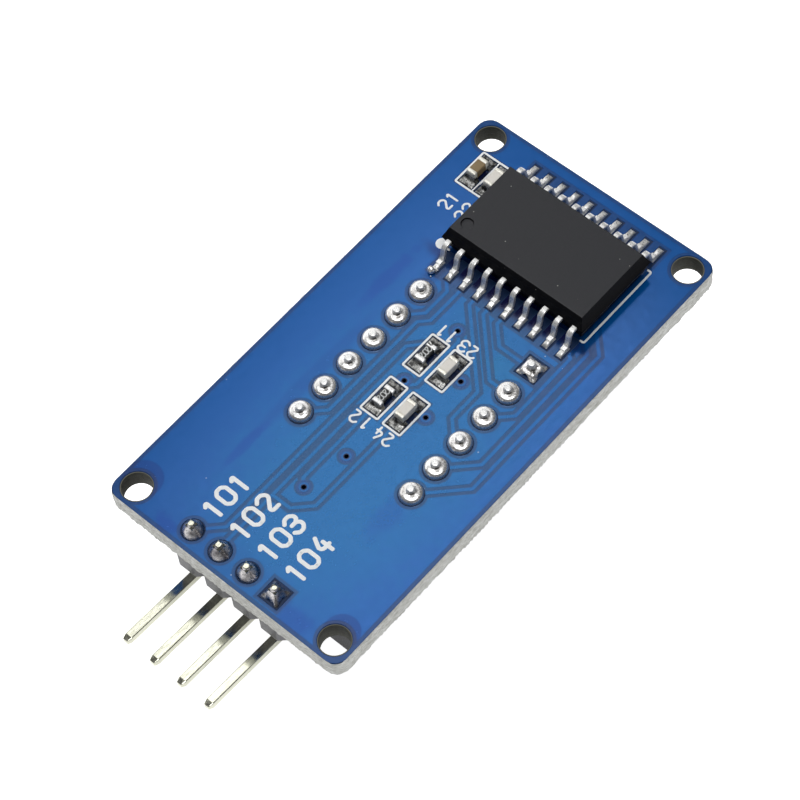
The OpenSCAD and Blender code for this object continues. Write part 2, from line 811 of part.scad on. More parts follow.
module capacitor_body(i) {
    color(i == 1 ? "sienna" : "antiquewhite") small_body(capacitor_places[i - 1], capacitor_h);
}

module capacitor_ends() {
    color("silver")
        for (place = capacitor_places) small_ends(place, capacitor_h);
}

// Solder on each small pad, with a wedge up the metal end
module small_part_solder() {
    wedge_h = resistor_h * 0.7;
    film_len = small_pad_len - 0.08;
    film_mid = small_pad_pitch / 2;
    wedge_out = film_mid + film_len / 2 - 0.1;
    color("lightgray")
        for (place = small_places, side = [0, 1])
            translate([place[0], place[1], pad_z])
                mirror([side, 0, 0]) {
                    translate([film_mid - film_len / 2, -small_pad_w / 2 + 0.04, 0])
                        cube([film_len, small_pad_w - 0.08, solder_t]);
                    extruded_side(small_wid)
                        polygon([[small_len / 2, 0], [small_len / 2, solder_t + wedge_h],
                                 [small_len / 2 + 0.14, solder_t + wedge_h * 0.4], [wedge_out, 0]]);
                }
}

// Through solder

// Half section of a joint: solder down the plated hole and a dome over the pad
function joint_section(inner, hole, land, height) =
    let (top_angle = acos(inner / land), steps = 6)
    concat([[0, core_z0 - copper_t], [hole, core_z0 - copper_t], [hole, pad_z]],
           [for (k = [0:steps]) [land * cos(top_angle * k / steps),
                                 pad_z + height * sin(top_angle * k / steps) / sin(top_angle)]],
           [[0, pad_z + height]]);

module joint(inner, hole, land, height) {
    rotate_extrude() polygon(joint_section(inner, hole, land, height));
}

// Four sloping ridges that solder forms toward the corners of a square pad
module square_foot(side, height) {
    foot = [[-side / 2, pad_z], [side / 2, pad_z], [side / 5, pad_z + height], [-side / 5, pad_z + height]];
    intersection() {
        extruded_side(side) polygon(foot);
        rotate(90) extruded_side(side) polygon(foot);
    }
}

module display_solder() {
    color("lightgray")
        difference() {
            union() {
                at_display_pins()
                    joint(pin_d / 2, pin_hole_d / 2 - plating_t, pin_pad_d / 2 - 0.02, joint_h);
                translate(pin_at(column_count - 1, -1)) square_foot(square_side - 0.04, joint_h * 0.7);
            }
            at_display_pins() cylinder(d = pin_d, h = 2 * print_z);
        }
}

module header_solder() {
    color("lightgray")
        difference() {
            union() {
                at_header_pins()
                    joint(header_pin_w * 0.6, header_hole_d / 2 - plating_t, header_pad_d / 2 - 0.02,
                          header_joint_h);
                translate(header_at(header_pins)) square_foot(header_pad_d - 0.04, header_joint_h * 0.5);
            }
            at_header_pins()
                translate([0, 0, print_z])
                    cube([header_pin_w, header_pin_w, 4 * core_t], center = true);
        }
}

// Header

module header_housing() {
    half = block_w / 2;
    corner = half - block_cut;
    color("#3a3a3c")
        translate([0, 0, disp_h - block_h])
            difference() {
                linear_extrude(block_h) {
                    at_header_pins()
                        polygon([[corner, half], [-corner, half], [-half, corner], [-half, -corner],
                                 [-corner, -half], [corner, -half], [half, -corner], [half, corner]]);
                    for (i = [1:header_pins - 1])
                        translate((header_at(i) + header_at(i + 1)) / 2)
                            square([2 * corner, pitch - block_w + 0.5], center = true);
                }
                at_header_pins()
                    translate([0, 0, block_h / 2])
                        cube([header_pin_w, header_pin_w, block_h + 1], center = true);
            }
}

// A header pin: a leg through the board, a bend below the housing and an outer part with a tapered tip
module header_pin(i) {
    top_z = pad_z + header_joint_h + 0.1;
    bend_z = core_z0 - pin_drop;
    tip_x = tip_len - pin_reach;
    tip_z = bend_z - tip_x * tan(pin_tilt);
    half = header_pin_w / 2;
    path = rounded([[0, top_z], [0, bend_z], [tip_x, tip_z]], pin_bend_r);
    taper = [[0, -half], [0, half], [-tip_len, tip_w / 2], [-tip_len, -tip_w / 2]];
    color("lightgray")
        translate(header_at(i)) {
            extruded_side(header_pin_w) polygon(band(path, header_pin_w));
            translate([tip_x, 0, tip_z])
                rotate([0, pin_tilt, 0])
                    intersection() {
                        extruded_side(header_pin_w) polygon(taper);
                        linear_extrude(header_pin_w, center = true) polygon(taper);
                    }
        }
}

circuit_board();
rear_copper();
hole_plating();
rear_mask();
front_mask();
rear_print();
display_shell();
display_face_film();
colon_dots();
display_inner_board();
led_dies();
display_resin();
display_pins_upper();
display_pins_lower();
chip_body();
chip_die();
chip_die_pad();
header_housing();
display_solder();
header_solder();
chip_solder();
small_part_solder();
for (i = [1:2]) {
    resistor_body(i);
    resistor_ends(i);
}
capacitor_ends();
for (i = [1:4]) {
    digit_segments(i);
    capacitor_body(i);
}
for (i = [1:header_pins])
    header_pin(i);
for (i = [1:2 * leads_per_side])
    chip_lead(i);
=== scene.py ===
"""Looks of the seven segment display module: its board, driver chip, small parts, header and display.

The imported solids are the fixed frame. Shapes that need soft edges, such as solder, formed leads and ink, are
worked out here as grids of points, and stand for their solids. Lengths in the classes are millimetres in the
part's own frame, and become metres when a mesh is made.
"""

from __future__ import annotations

import json
import logging
import math
from collections.abc import Callable, Sequence
from dataclasses import dataclass, field
from enum import Enum

import bmesh
import bpy
import numpy as np
from mathutils import Matrix

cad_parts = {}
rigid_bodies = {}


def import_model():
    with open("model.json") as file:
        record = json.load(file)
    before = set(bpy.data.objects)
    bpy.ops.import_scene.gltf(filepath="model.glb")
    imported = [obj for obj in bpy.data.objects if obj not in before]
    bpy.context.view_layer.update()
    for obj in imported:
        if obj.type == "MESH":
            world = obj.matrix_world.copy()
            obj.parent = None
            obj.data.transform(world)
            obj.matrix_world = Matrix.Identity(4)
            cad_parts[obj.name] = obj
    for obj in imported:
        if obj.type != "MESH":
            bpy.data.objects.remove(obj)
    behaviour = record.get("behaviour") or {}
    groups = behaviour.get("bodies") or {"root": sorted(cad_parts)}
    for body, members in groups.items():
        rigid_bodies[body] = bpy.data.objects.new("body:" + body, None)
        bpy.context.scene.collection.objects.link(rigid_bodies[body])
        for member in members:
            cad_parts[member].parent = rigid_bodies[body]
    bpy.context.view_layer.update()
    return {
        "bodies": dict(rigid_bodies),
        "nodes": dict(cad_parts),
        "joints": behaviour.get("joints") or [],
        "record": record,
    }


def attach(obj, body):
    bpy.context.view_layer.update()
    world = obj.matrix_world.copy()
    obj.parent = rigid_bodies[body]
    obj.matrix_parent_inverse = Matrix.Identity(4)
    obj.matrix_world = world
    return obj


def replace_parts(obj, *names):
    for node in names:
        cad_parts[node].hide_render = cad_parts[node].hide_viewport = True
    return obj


log = logging.getLogger("display_module")

MM = 0.001
Color = tuple[float, float, float]


class Side(Enum):
    """Which way a lead or a pad points from the chip's middle."""

    LEFT = -1
    RIGHT = 1


class Land(Enum):
    """The outline of the pad below a solder joint."""

    ROUND = "round"
    SQUARE = "square"


# Points, grids and meshes


def ripple(shape_u: np.ndarray, shape_v: np.ndarray, seed: int, waves: int = 9, top: float = 6.0) -> np.ndarray:
    """Smooth seeded unevenness: the sum over k of sin(u f_k + v g_k + p_k) / sqrt(waves / 2).

    Args:
        shape_u: First coordinate of each point.
        shape_v: Second coordinate, of a shape that fits the first.
        seed: Number that settles the waves.
        waves: How many waves are added.
        top: Highest frequency of a wave.

    Returns:
        One value a point, mostly between -1 and 1.
    """
    rng = np.random.default_rng(seed)
    f, g = rng.uniform(-top, top, (2, waves))
    phase = rng.uniform(0, 2 * np.pi, waves)
    turns = shape_u[..., None] * f + shape_v[..., None] * g + phase
    return np.sin(turns).sum(-1) / math.sqrt(waves / 2)


def rounded_loop(width: float, height: float, radius: float, steps: int = 4) -> np.ndarray:
    """Outline of a rectangle with round corners: corner centre + radius (cos a, sin a), a quarter turn a corner.

    One more point on each side of a corner keeps the shading of the straight parts flat.

    Args:
        width: Full width.
        height: Full height.
        radius: Corner radius.
        steps: Pieces in each corner.

    Returns:
        The points in order, anticlockwise, two numbers each.
    """
    angle = np.linspace(0, np.pi / 2, steps + 1)[None, :] + np.arange(4)[:, None] * np.pi / 2
    centre_x = (width / 2 - radius) * np.array([1, -1, -1, 1])[:, None]
    centre_y = (height / 2 - radius) * np.array([1, 1, -1, -1])[:, None]
    x = centre_x + radius * np.cos(angle)
    y = centre_y + radius * np.sin(angle)
    hold = 0.3 * radius * np.array([[-np.sin(angle[:, 0]), np.cos(angle[:, 0])], [-np.sin(angle[:, -1]), np.cos(angle[:, -1])]])
    x = np.concatenate([x[:, :1] - hold[0, 0][:, None], x, x[:, -1:] + hold[1, 0][:, None]], 1)
    y = np.concatenate([y[:, :1] - hold[0, 1][:, None], y, y[:, -1:] + hold[1, 1][:, None]], 1)
    return np.stack([x.ravel(), y.ravel()], 1)


def eased_path(corners: Sequence[Sequence[float]], radius: float, steps: int = 8) -> np.ndarray:
    """A polyline whose inner corners are arcs: centre + radius times the turned normal.

    Args:
        corners: Corner points in a plane.
        radius: Radius of each arc.
        steps: Pieces in each arc.

    Returns:
        The points in order.
    """
    p = np.array(corners, float)
    found = [p[:1]]
    for before, here, after in zip(p[:-2], p[1:-1], p[2:]):
        a = (here - before) / np.linalg.norm(here - before)
        b = (after - here) / np.linalg.norm(after - here)
        turn = math.atan2(a[0] * b[1] - a[1] * b[0], a @ b)
        if abs(turn) < 0.02:
            continue
        reach = min(radius * math.tan(abs(turn) / 2), 0.49 * min(np.linalg.norm(here - before), np.linalg.norm(after - here)))
        bend = reach / math.tan(abs(turn) / 2)
        side = np.array([-a[1], a[0]]) * math.copysign(1, turn)
        start = here - a * reach
        angle = np.linspace(0, turn, steps + 1)[:, None]
        spun = np.concatenate([side[0] * np.cos(angle) - side[1] * np.sin(angle),
                               side[0] * np.sin(angle) + side[1] * np.cos(angle)], 1)
        found += [(start - a * reach * 0.04)[None], start + side * bend - spun * bend, (here + b * reach * 1.04)[None]]
    found.append(p[-1:])
    return np.concatenate(found)


def path_normals(path: np.ndarray) -> np.ndarray:
    """Left-hand normals of a path in a plane, lengthened at its corners so that a band keeps its width.

    Args:
        path: Points in order.

    Returns:
        One normal a point.
    """
    step = np.diff(path, axis=0)
    step /= np.linalg.norm(step, axis=1, keepdims=True)
    ahead = np.concatenate([step, step[-1:]])
    behind = np.concatenate([step[:1], step])
    mean = ahead + behind
    mean /= np.linalg.norm(mean, axis=1, keepdims=True)
    stretch = np.maximum((mean * ahead).sum(1, keepdims=True), 0.5)
    return np.stack([-mean[:, 1], mean[:, 0]], 1) / stretch


def swept(path: np.ndarray, loop: np.ndarray, scale: np.ndarray | None = None) -> np.ndarray:
    """A loop carried along a path in a plane: place + normal * loop_0 * scale, and loop_1 * scale across the plane.

    Args:
        path: Points in order in the plane.
        loop: Closed outline: how far along the normal, and how far out of the plane.
        scale: Factor on the loop at each point, one or two numbers, or none.

    Returns:
        Grid of points: two numbers in the plane, and one across it.
    """
    grow = np.ones((len(path), 2)) if scale is None else np.broadcast_to(np.reshape(scale, (len(path), -1)), (len(path), 2))
    along = loop[None, :, 0] * grow[:, :1]
    across = loop[None, :, 1] * grow[:, 1:]
    flat = path[:, None, :] + path_normals(path)[:, None, :] * along[..., None]
    return np.concatenate([flat, across[..., None]], 2)


def rounded_ends(path: np.ndarray, ease: float, half: float, steps: int = 4) -> tuple[np.ndarray, np.ndarray]:
    """Adds stations at both ends, where the loop shrinks on a quarter circle: scale = 1 - e / half (1 - cos a).

    Args:
        path: Points in order.
        ease: Radius of the rounding.
        half: Half the thickness that is rounded.
        steps: Stations at each end.

    Returns:
        The longer path, and the factor at each of its points.
    """
    angle = np.linspace(np.pi / 2, 0, steps + 1)
    back = ease * (1 - np.sin(angle))
    shrink = 1 - ease / half * (1 - np.cos(angle))
    first = (path[1] - path[0]) / np.linalg.norm(path[1] - path[0])
    last = (path[-1] - path[-2]) / np.linalg.norm(path[-1] - path[-2])
    start = path[0] + first * back[:, None]
    end = path[-1] - last * back[::-1, None]
    places = np.concatenate([start, path[1:-1], end])
    scale = np.concatenate([shrink, np.ones(len(path) - 2), shrink[::-1]])
    return places, scale


@dataclass
class Shell:
    """Points and faces of one piece, gathered from grids before its mesh is made."""

    places: list[np.ndarray] = field(default_factory=list)
    faces: list[list[int]] = field(default_factory=list)
    count: int = 0

    def add(self, grid: np.ndarray, wrap_rows: bool = False, close: bool = True) -> None:
        """Adds a grid whose columns run round a loop.

        Args:
            grid: Points, rows by columns by three, in millimetres.
            wrap_rows: True if the last row meets the first.
            close: True if both ends get a fan to their middle point.
        """
        rows, cols = grid.shape[:2]
        index = self.count + np.arange(rows * cols).reshape(rows, cols)
        low = index if wrap_rows else index[:-1]
        high = np.roll(index, -1, 0) if wrap_rows else index[1:]
        quads = np.stack([low, np.roll(low, -1, 1), np.roll(high, -1, 1), high], -1).reshape(-1, 4)
        self.faces += quads.tolist()
        self.places.append(grid.reshape(-1, 3))
        self.count += rows * cols
        if close and not wrap_rows:
            for ring, order in ((index[0], -1), (index[-1], 1)):
                points = grid[0] if order < 0 else grid[-1]
                self.places.append(points.mean(0)[None])
                fan = np.stack([ring, np.roll(ring, -1), np.full(cols, self.count)], 1)
                self.faces += (fan[:, ::-1] if order < 0 else fan).tolist()
                self.count += 1

    def build(self, name: str, sharp: float = 40.0) -> bpy.types.Object:
        """Makes the mesh, with faces outward and smooth between edges sharper than an angle.

        Args:
            name: Name of the piece.
            sharp: Angle in degrees past which an edge stays sharp.

        Returns:
            The new object, which rides on the root body.
        """
        mesh = bpy.data.meshes.new(name)
        mesh.from_pydata((np.concatenate(self.places) * MM).tolist(), [], self.faces)
        work = bmesh.new()
        work.from_mesh(mesh)
        bmesh.ops.remove_doubles(work, verts=work.verts, dist=1e-8)
        bmesh.ops.recalc_face_normals(work, faces=work.faces)
        work.to_mesh(mesh)
        work.free()
        mesh.shade_smooth()
        mesh.set_sharp_from_angle(angle=math.radians(sharp))
        piece = bpy.data.objects.new(name, mesh)
        bpy.context.scene.collection.objects.link(piece)
        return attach(piece, "root")


def placed(grid: np.ndarray, x: float = 0.0, y: float = 0.0, z: float = 0.0) -> np.ndarray:
    """The grid moved by x, y and z."""
    return grid + np.array([x, y, z])


def upright(grid: np.ndarray, side: int = 1) -> np.ndarray:
    """Turns a grid of (out, up, across) into (x, y, z), with out along side times x."""
    return np.stack([grid[..., 0] * side, grid[..., 2], grid[..., 1]], -1)


def softened_copy(frame: dict, node: str, name: str, width: float, steps: int = 3) -> bpy.types.Object:
    """A copy of a solid with its loose triangles merged and its sharp edges rounded.

    Args:
        node: The solid's name.
        name: Name of the new piece.
        width: Width of the rounding in millimetres.
        steps: Pieces across the rounding.

    Returns:
        The new object, which stands for the solid.
    """
    mesh = frame["nodes"][node].data.copy()
    mesh.name = name
    work = bmesh.new()
    work.from_mesh(mesh)
    bmesh.ops.remove_doubles(work, verts=work.verts, dist=1e-6)
    bmesh.ops.dissolve_limit(work, angle_limit=math.radians(1), verts=work.verts, edges=work.edges)
    work.to_mesh(mesh)
    work.free()
    mesh.shade_smooth()
    piece = bpy.data.objects.new(name, mesh)
    bpy.context.scene.collection.objects.link(piece)
    bevel = piece.modifiers.new("rounding", "BEVEL")
    bevel.width = width * MM
    bevel.segments = steps
    bevel.limit_method = "ANGLE"
    bevel.angle_limit = math.radians(30)
    bevel.harden_normals = True
    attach(piece, "root")
    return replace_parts(piece, node)


# Shader nodes


class Graph:
    """Adds and links shader nodes in one tree."""

    def __init__(self, tree: bpy.types.NodeTree) -> None:
        """Keeps the tree, and clears it."""
        self.tree = tree
        tree.nodes.clear()

    def add(self, kind: str, inputs: dict[str | int, object] | None = None, **settings: object) -> bpy.types.Node:
        """Adds a node.

        Args:
            kind: The node's type, without its first word.
            inputs: A value or an output for each named or numbered input.
            settings: The node's own properties.

        Returns:
            The node.
        """
        node = self.tree.nodes.new("ShaderNode" + kind)
        for key, value in settings.items():
            setattr(node, key, value)
        for key, value in (inputs or {}).items():
            if isinstance(value, bpy.types.NodeSocket):
                self.tree.links.new(value, node.inputs[key])
            else:
                node.inputs[key].default_value = value
        return node

    def maths(self, kind: str, *values: object, clamp: bool = False) -> bpy.types.NodeSocket:
        """The output of a Math node of a kind, fed with values or outputs."""
        return self.add("Math", dict(enumerate(values)), operation=kind, use_clamp=clamp).outputs[0]

    def mix(self, share: object, first: object, second: object, kind: str = "MIX") -> bpy.types.NodeSocket:
        """The colour between two colours by a share."""
        inputs = {0: share, 6: tint(first), 7: tint(second)}
        return self.add("Mix", inputs, data_type="RGBA", blend_type=kind).outputs[2]

    def between(self, value: object, low: float, high: float, to_low: float = 0.0, to_high: float = 1.0) -> bpy.types.NodeSocket:
        """The value smoothly carried from one range to another."""
        inputs = {"Value": value, "From Min": low, "From Max": high, "To Min": to_low, "To Max": to_high}
        return self.add("MapRange", inputs, interpolation_type="SMOOTHSTEP").outputs[0]

    def millimetres(self, stretch: Color = (1.0, 1.0, 1.0)) -> bpy.types.NodeSocket:
        """The point's place in millimetres, each axis times its own stretch."""
        place = self.add("TexCoord").outputs["Object"]
        scale = tuple(s / MM for s in stretch)
        return self.add("Mapping", {"Vector": place, "Scale": scale}).outputs[0]

    def group(self, kind: bpy.types.NodeTree, inputs: dict[str, object]) -> bpy.types.Node:
        """Places a shared group with its own values."""
        node = self.add("Group", node_tree=kind)
        for key, value in inputs.items():
            if isinstance(value, bpy.types.NodeSocket):
                self.tree.links.new(value, node.inputs[key])
            else:
                node.inputs[key].default_value = value
        return node


def tint(value: object) -> object:
    """A colour of three numbers gets its fourth; anything else stays."""
    return (*value, 1.0) if isinstance(value, tuple) and len(value) == 3 else value


def new_group(name: str, takes: dict[str, tuple[str, object]], gives: dict[str, str]) -> tuple[bpy.types.NodeTree, Graph, bpy.types.Node]:
    """Starts a shared group with named inputs and outputs.

    Args:
        name: Name of the group.
        takes: For each input, its kind of socket and its usual value.
        gives: For each output, its kind of socket.

    Returns:
        The group, a graph that adds nodes to it, and its input node.
    """
    tree = bpy.data.node_groups.new(name, "ShaderNodeTree")
    for key, (kind, value) in takes.items():
        socket = tree.interface.new_socket(name=key, in_out="INPUT", socket_type="NodeSocket" + kind)
        if value is not None:
            socket.default_value = value
    for key, kind in gives.items():
        tree.interface.new_socket(name=key, in_out="OUTPUT", socket_type="NodeSocket" + kind)
    graph = Graph(tree)
    return tree, graph, tree.nodes.new("NodeGroupInput")


def finish_group(graph: Graph, values: dict[str, bpy.types.NodeSocket]) -> None:
    """Links the group's outputs."""
    out = graph.tree.nodes.new("NodeGroupOutput")
    for key, value in values.items():
        graph.tree.links.new(value, out.inputs[key])


class Effects:
    """The groups that several finishes share."""

    def __init__(self) -> None:
        """Builds each group once."""
        self.grain = self._grain()
        self.smear = self._smear()
        self.specks = self._specks()

    def _grain(self) -> bpy.types.NodeTree:
        """Fine unevenness of a size in millimetres, from 0 to 1, and a coarser patchiness three times its size."""
        tree, g, given = new_group("grain", {"Place": ("Vector", None), "Size": ("Float", 0.1), "Contrast": ("Float", 1.0)},
                                   {"Fine": "Float", "Patches": "Float"})
        scale = g.maths("DIVIDE", 1.0, given.outputs["Size"])
        fine = g.add("TexNoise", {"Vector": given.outputs["Place"], "Scale": scale, "Detail": 3.0, "Roughness": 0.6})
        wide = g.add("TexNoise", {"Vector": given.outputs["Place"], "Scale": g.maths("DIVIDE", scale, 5.0), "Detail": 2.0})
        shaped = []
        for noise in (fine, wide):
            off = g.maths("SUBTRACT", noise.outputs[0], 0.5)
            shaped.append(g.maths("ADD", g.maths("MULTIPLY", off, given.outputs["Contrast"]), 0.5, clamp=True))
        finish_group(g, {"Fine": shaped[0], "Patches": shaped[1]})
        return tree

    def _smear(self) -> bpy.types.NodeTree:
        """A soft ragged spot: 1 inside an ellipse round a centre, 0 outside it, with an uneven edge."""
        tree, g, given = new_group("smear", {"Place": ("Vector", None), "Centre": ("Vector", None), "Size": ("Vector", (1, 1, 1)),
                                             "Edge": ("Float", 0.2), "Ragged": ("Float", 0.3)}, {"Mask": "Float"})
        off = g.add("VectorMath", {0: given.outputs["Place"], 1: given.outputs["Centre"]}, operation="SUBTRACT").outputs[0]
        unit = g.add("VectorMath", {0: off, 1: given.outputs["Size"]}, operation="DIVIDE").outputs[0]
        reach = g.add("VectorMath", {0: unit}, operation="LENGTH").outputs["Value"]
        noise = g.add("TexNoise", {"Vector": given.outputs["Place"], "Scale": 1.3, "Detail": 4.0}).outputs[0]
        rough = g.maths("MULTIPLY", g.maths("SUBTRACT", noise, 0.5), given.outputs["Ragged"])
        edge = g.maths("ADD", reach, g.maths("MULTIPLY", rough, 2.0))
        low = g.maths("SUBTRACT", 1.0, given.outputs["Edge"])
        high = g.maths("ADD", 1.0, given.outputs["Edge"])
        ramp = g.add("MapRange", {"Value": edge, "From Min": low, "From Max": high, "To Min": 1.0, "To Max": 0.0},
                     interpolation_type="SMOOTHSTEP")
        finish_group(g, {"Mask": ramp.outputs[0]})
        return tree

    def _specks(self) -> bpy.types.NodeTree:
        """Sparse small dots: cells of a size, a share of which hold a dot of a radius."""
        tree, g, given = new_group("specks", {"Place": ("Vector", None), "Cell": ("Float", 1.0), "Radius": ("Float", 0.1),
                                              "Share": ("Float", 0.2)}, {"Mask": "Float"})
        scale = g.maths("DIVIDE", 1.0, given.outputs["Cell"])
        cells = g.add("TexVoronoi", {"Vector": given.outputs["Place"], "Scale": scale, "Randomness": 1.0})
        reach = g.maths("MULTIPLY", cells.outputs["Distance"], given.outputs["Cell"])
        near = g.maths("SUBTRACT", 1.0, g.maths("DIVIDE", reach, given.outputs["Radius"]), clamp=True)
        red = g.add("SeparateColor", {0: cells.outputs["Color"]}).outputs[0]
        chosen = g.maths("LESS_THAN", red, given.outputs["Share"])
        finish_group(g, {"Mask": g.maths("MULTIPLY", g.maths("POWER", near, 0.5), chosen)})
        return tree


def new_surface(name: str) -> tuple[bpy.types.Material, Graph, bpy.types.Node]:
    """Starts a material with a Principled shader.

    Args:
        name: Name of the material.

    Returns:
        The material, its graph and the shader node.
    """
    material = bpy.data.materials.new(name)
    material.use_nodes = True
    graph = Graph(material.node_tree)
    shader = graph.add("BsdfPrincipled")
    graph.add("OutputMaterial", {"Surface": shader.outputs[0]})
    return material, graph, shader


@dataclass(frozen=True)
class Metal:
    """A tinned or soldered surface: bright, with duller patches, drawn lines, dark specks and, on the display joints,
    painted shade beside each pin.
    """

    name: str
    bright: Color
    dull: Color
    smooth: float
    rough: float
    grain: float
    bump: float
    stretch: Color = (1.0, 1.0, 1.0)
    specks: float = 0.0
    painted_pin_shade: bool = False
    pitch: float = 2.54
    row: float = 5.08
    spot: tuple[float, float] = (-0.20, -0.31)
    metallic: float = 1.0

    def painted_pin_shade_mask(self, g: Graph) -> bpy.types.NodeSocket:
        """Painted shade beside each display pin, for the pin's shadow and dark reflection on its solder: distance to a
        spot, after all pins are folded onto one.

        Along the row the fold is x - pitch (floor(x / pitch) + 0.5), across it y - row sign(y).

        Args:
            g: The material's graph.

        Returns:
            Its mask.
        """
        parts = g.add("SeparateXYZ", {0: g.millimetres()}).outputs
        cell = g.maths("ADD", g.maths("FLOOR", g.maths("DIVIDE", parts[0], self.pitch)), 0.5)
        off_x = g.maths("SUBTRACT", parts[0], g.maths("MULTIPLY", cell, self.pitch))
        off_y = g.maths("SUBTRACT", parts[1], g.maths("MULTIPLY", g.maths("SIGN", parts[1]), self.row))
        place = g.add("CombineXYZ", {0: off_x, 1: off_y, 2: 0.0}).outputs[0]
        reach = g.add("VectorMath", {0: place, 1: (*self.spot, 0.0)}, operation="DISTANCE").outputs["Value"]
        ragged = g.add("TexNoise", {"Vector": g.millimetres(), "Scale": 5.0, "Detail": 3.0}).outputs[0]
        return g.between(g.maths("ADD", reach, g.maths("MULTIPLY", g.maths("SUBTRACT", ragged, 0.5), 0.22)), 0.12, 0.24, 0.85, 0.0)

    def material(self, effects: Effects) -> bpy.types.Material:
        """Builds the material.

        Args:
            effects: The shared groups.

        Returns:
            The material.
        """
        material, g, shader = new_surface(self.name)
        place = g.millimetres(self.stretch)
        grain = g.group(effects.grain, {"Place": place, "Size": self.grain, "Contrast": 2.0})
        dots = g.group(effects.specks, {"Place": g.millimetres(), "Cell": 0.12, "Radius": 0.05, "Share": self.specks})
        patch = grain.outputs["Patches"]
        color = g.mix(g.between(patch, 0.35, 0.8), self.bright, self.dull)
        color = g.mix(dots.outputs[0], color, (0.05, 0.045, 0.04))
        # Painted shade: a dark patch beside each display pin stands in for the pin's shadow and reflection on the
        # solder.
        if self.painted_pin_shade:
            color = g.mix(self.painted_pin_shade_mask(g), color, (0.06, 0.055, 0.05))
        g.tree.links.new(color, shader.inputs["Base Color"])
        g.tree.links.new(g.between(grain.outputs["Fine"], 0.2, 0.9, self.smooth, self.rough), shader.inputs["Roughness"])
        shader.inputs["Metallic"].default_value = self.metallic
        bump = g.add("Bump", {"Strength": 1.0, "Distance": self.bump * MM, "Height": grain.outputs["Fine"]})
        g.tree.links.new(bump.outputs[0], shader.inputs["Normal"])
        return material


@dataclass(frozen=True)
class Moulding:
    """A moulded, cast or sintered surface with fine grain, patches and a few specks of dust."""

    name: str
    base: Color
    second: Color
    smooth: float
    rough: float
    grain: float
    bump: float
    dust: float = 0.0
    dust_color: Color = (0.6, 0.6, 0.6)
    specular: float = 0.5

    def material(self, effects: Effects) -> bpy.types.Material:
        """Builds the material.

        Args:
            effects: The shared groups.

        Returns:
            The material.
        """
        material, g, shader = new_surface(self.name)
        place = g.millimetres()
        grain = g.group(effects.grain, {"Place": place, "Size": self.grain, "Contrast": 1.6})
        dust = g.group(effects.specks, {"Place": place, "Cell": 0.55, "Radius": 0.05, "Share": self.dust})
        share = g.maths("MULTIPLY", g.maths("ADD", grain.outputs["Patches"], grain.outputs["Fine"]), 0.5)
        color = g.mix(share, self.base, self.second)
        color = g.mix(dust.outputs[0], color, self.dust_color)
        g.tree.links.new(color, shader.inputs["Base Color"])
        g.tree.links.new(g.between(grain.outputs["Fine"], 0.2, 0.8, self.smooth, self.rough), shader.inputs["Roughness"])
        shader.inputs["Specular IOR Level"].default_value = self.specular
        height = g.maths("ADD", grain.outputs["Fine"], dust.outputs[0])
        bump = g.add("Bump", {"Strength": 1.0, "Distance": self.bump * MM, "Height": height})
        g.tree.links.new(bump.outputs[0], shader.inputs["Normal"])
        return material


@dataclass(frozen=True)
class StainOrPaintedLight:
    """One mark on the mask, most of them flux marks and a few painted shadows and a painted highlight: where it is, its
    two reaches, how it shades the mask and how strongly.
    """

    x: float
    y: float
    reach_x: float
    reach_y: float
    shade: Color
    strength: float
    edge: float = 0.12
    ragged: float = 0.0


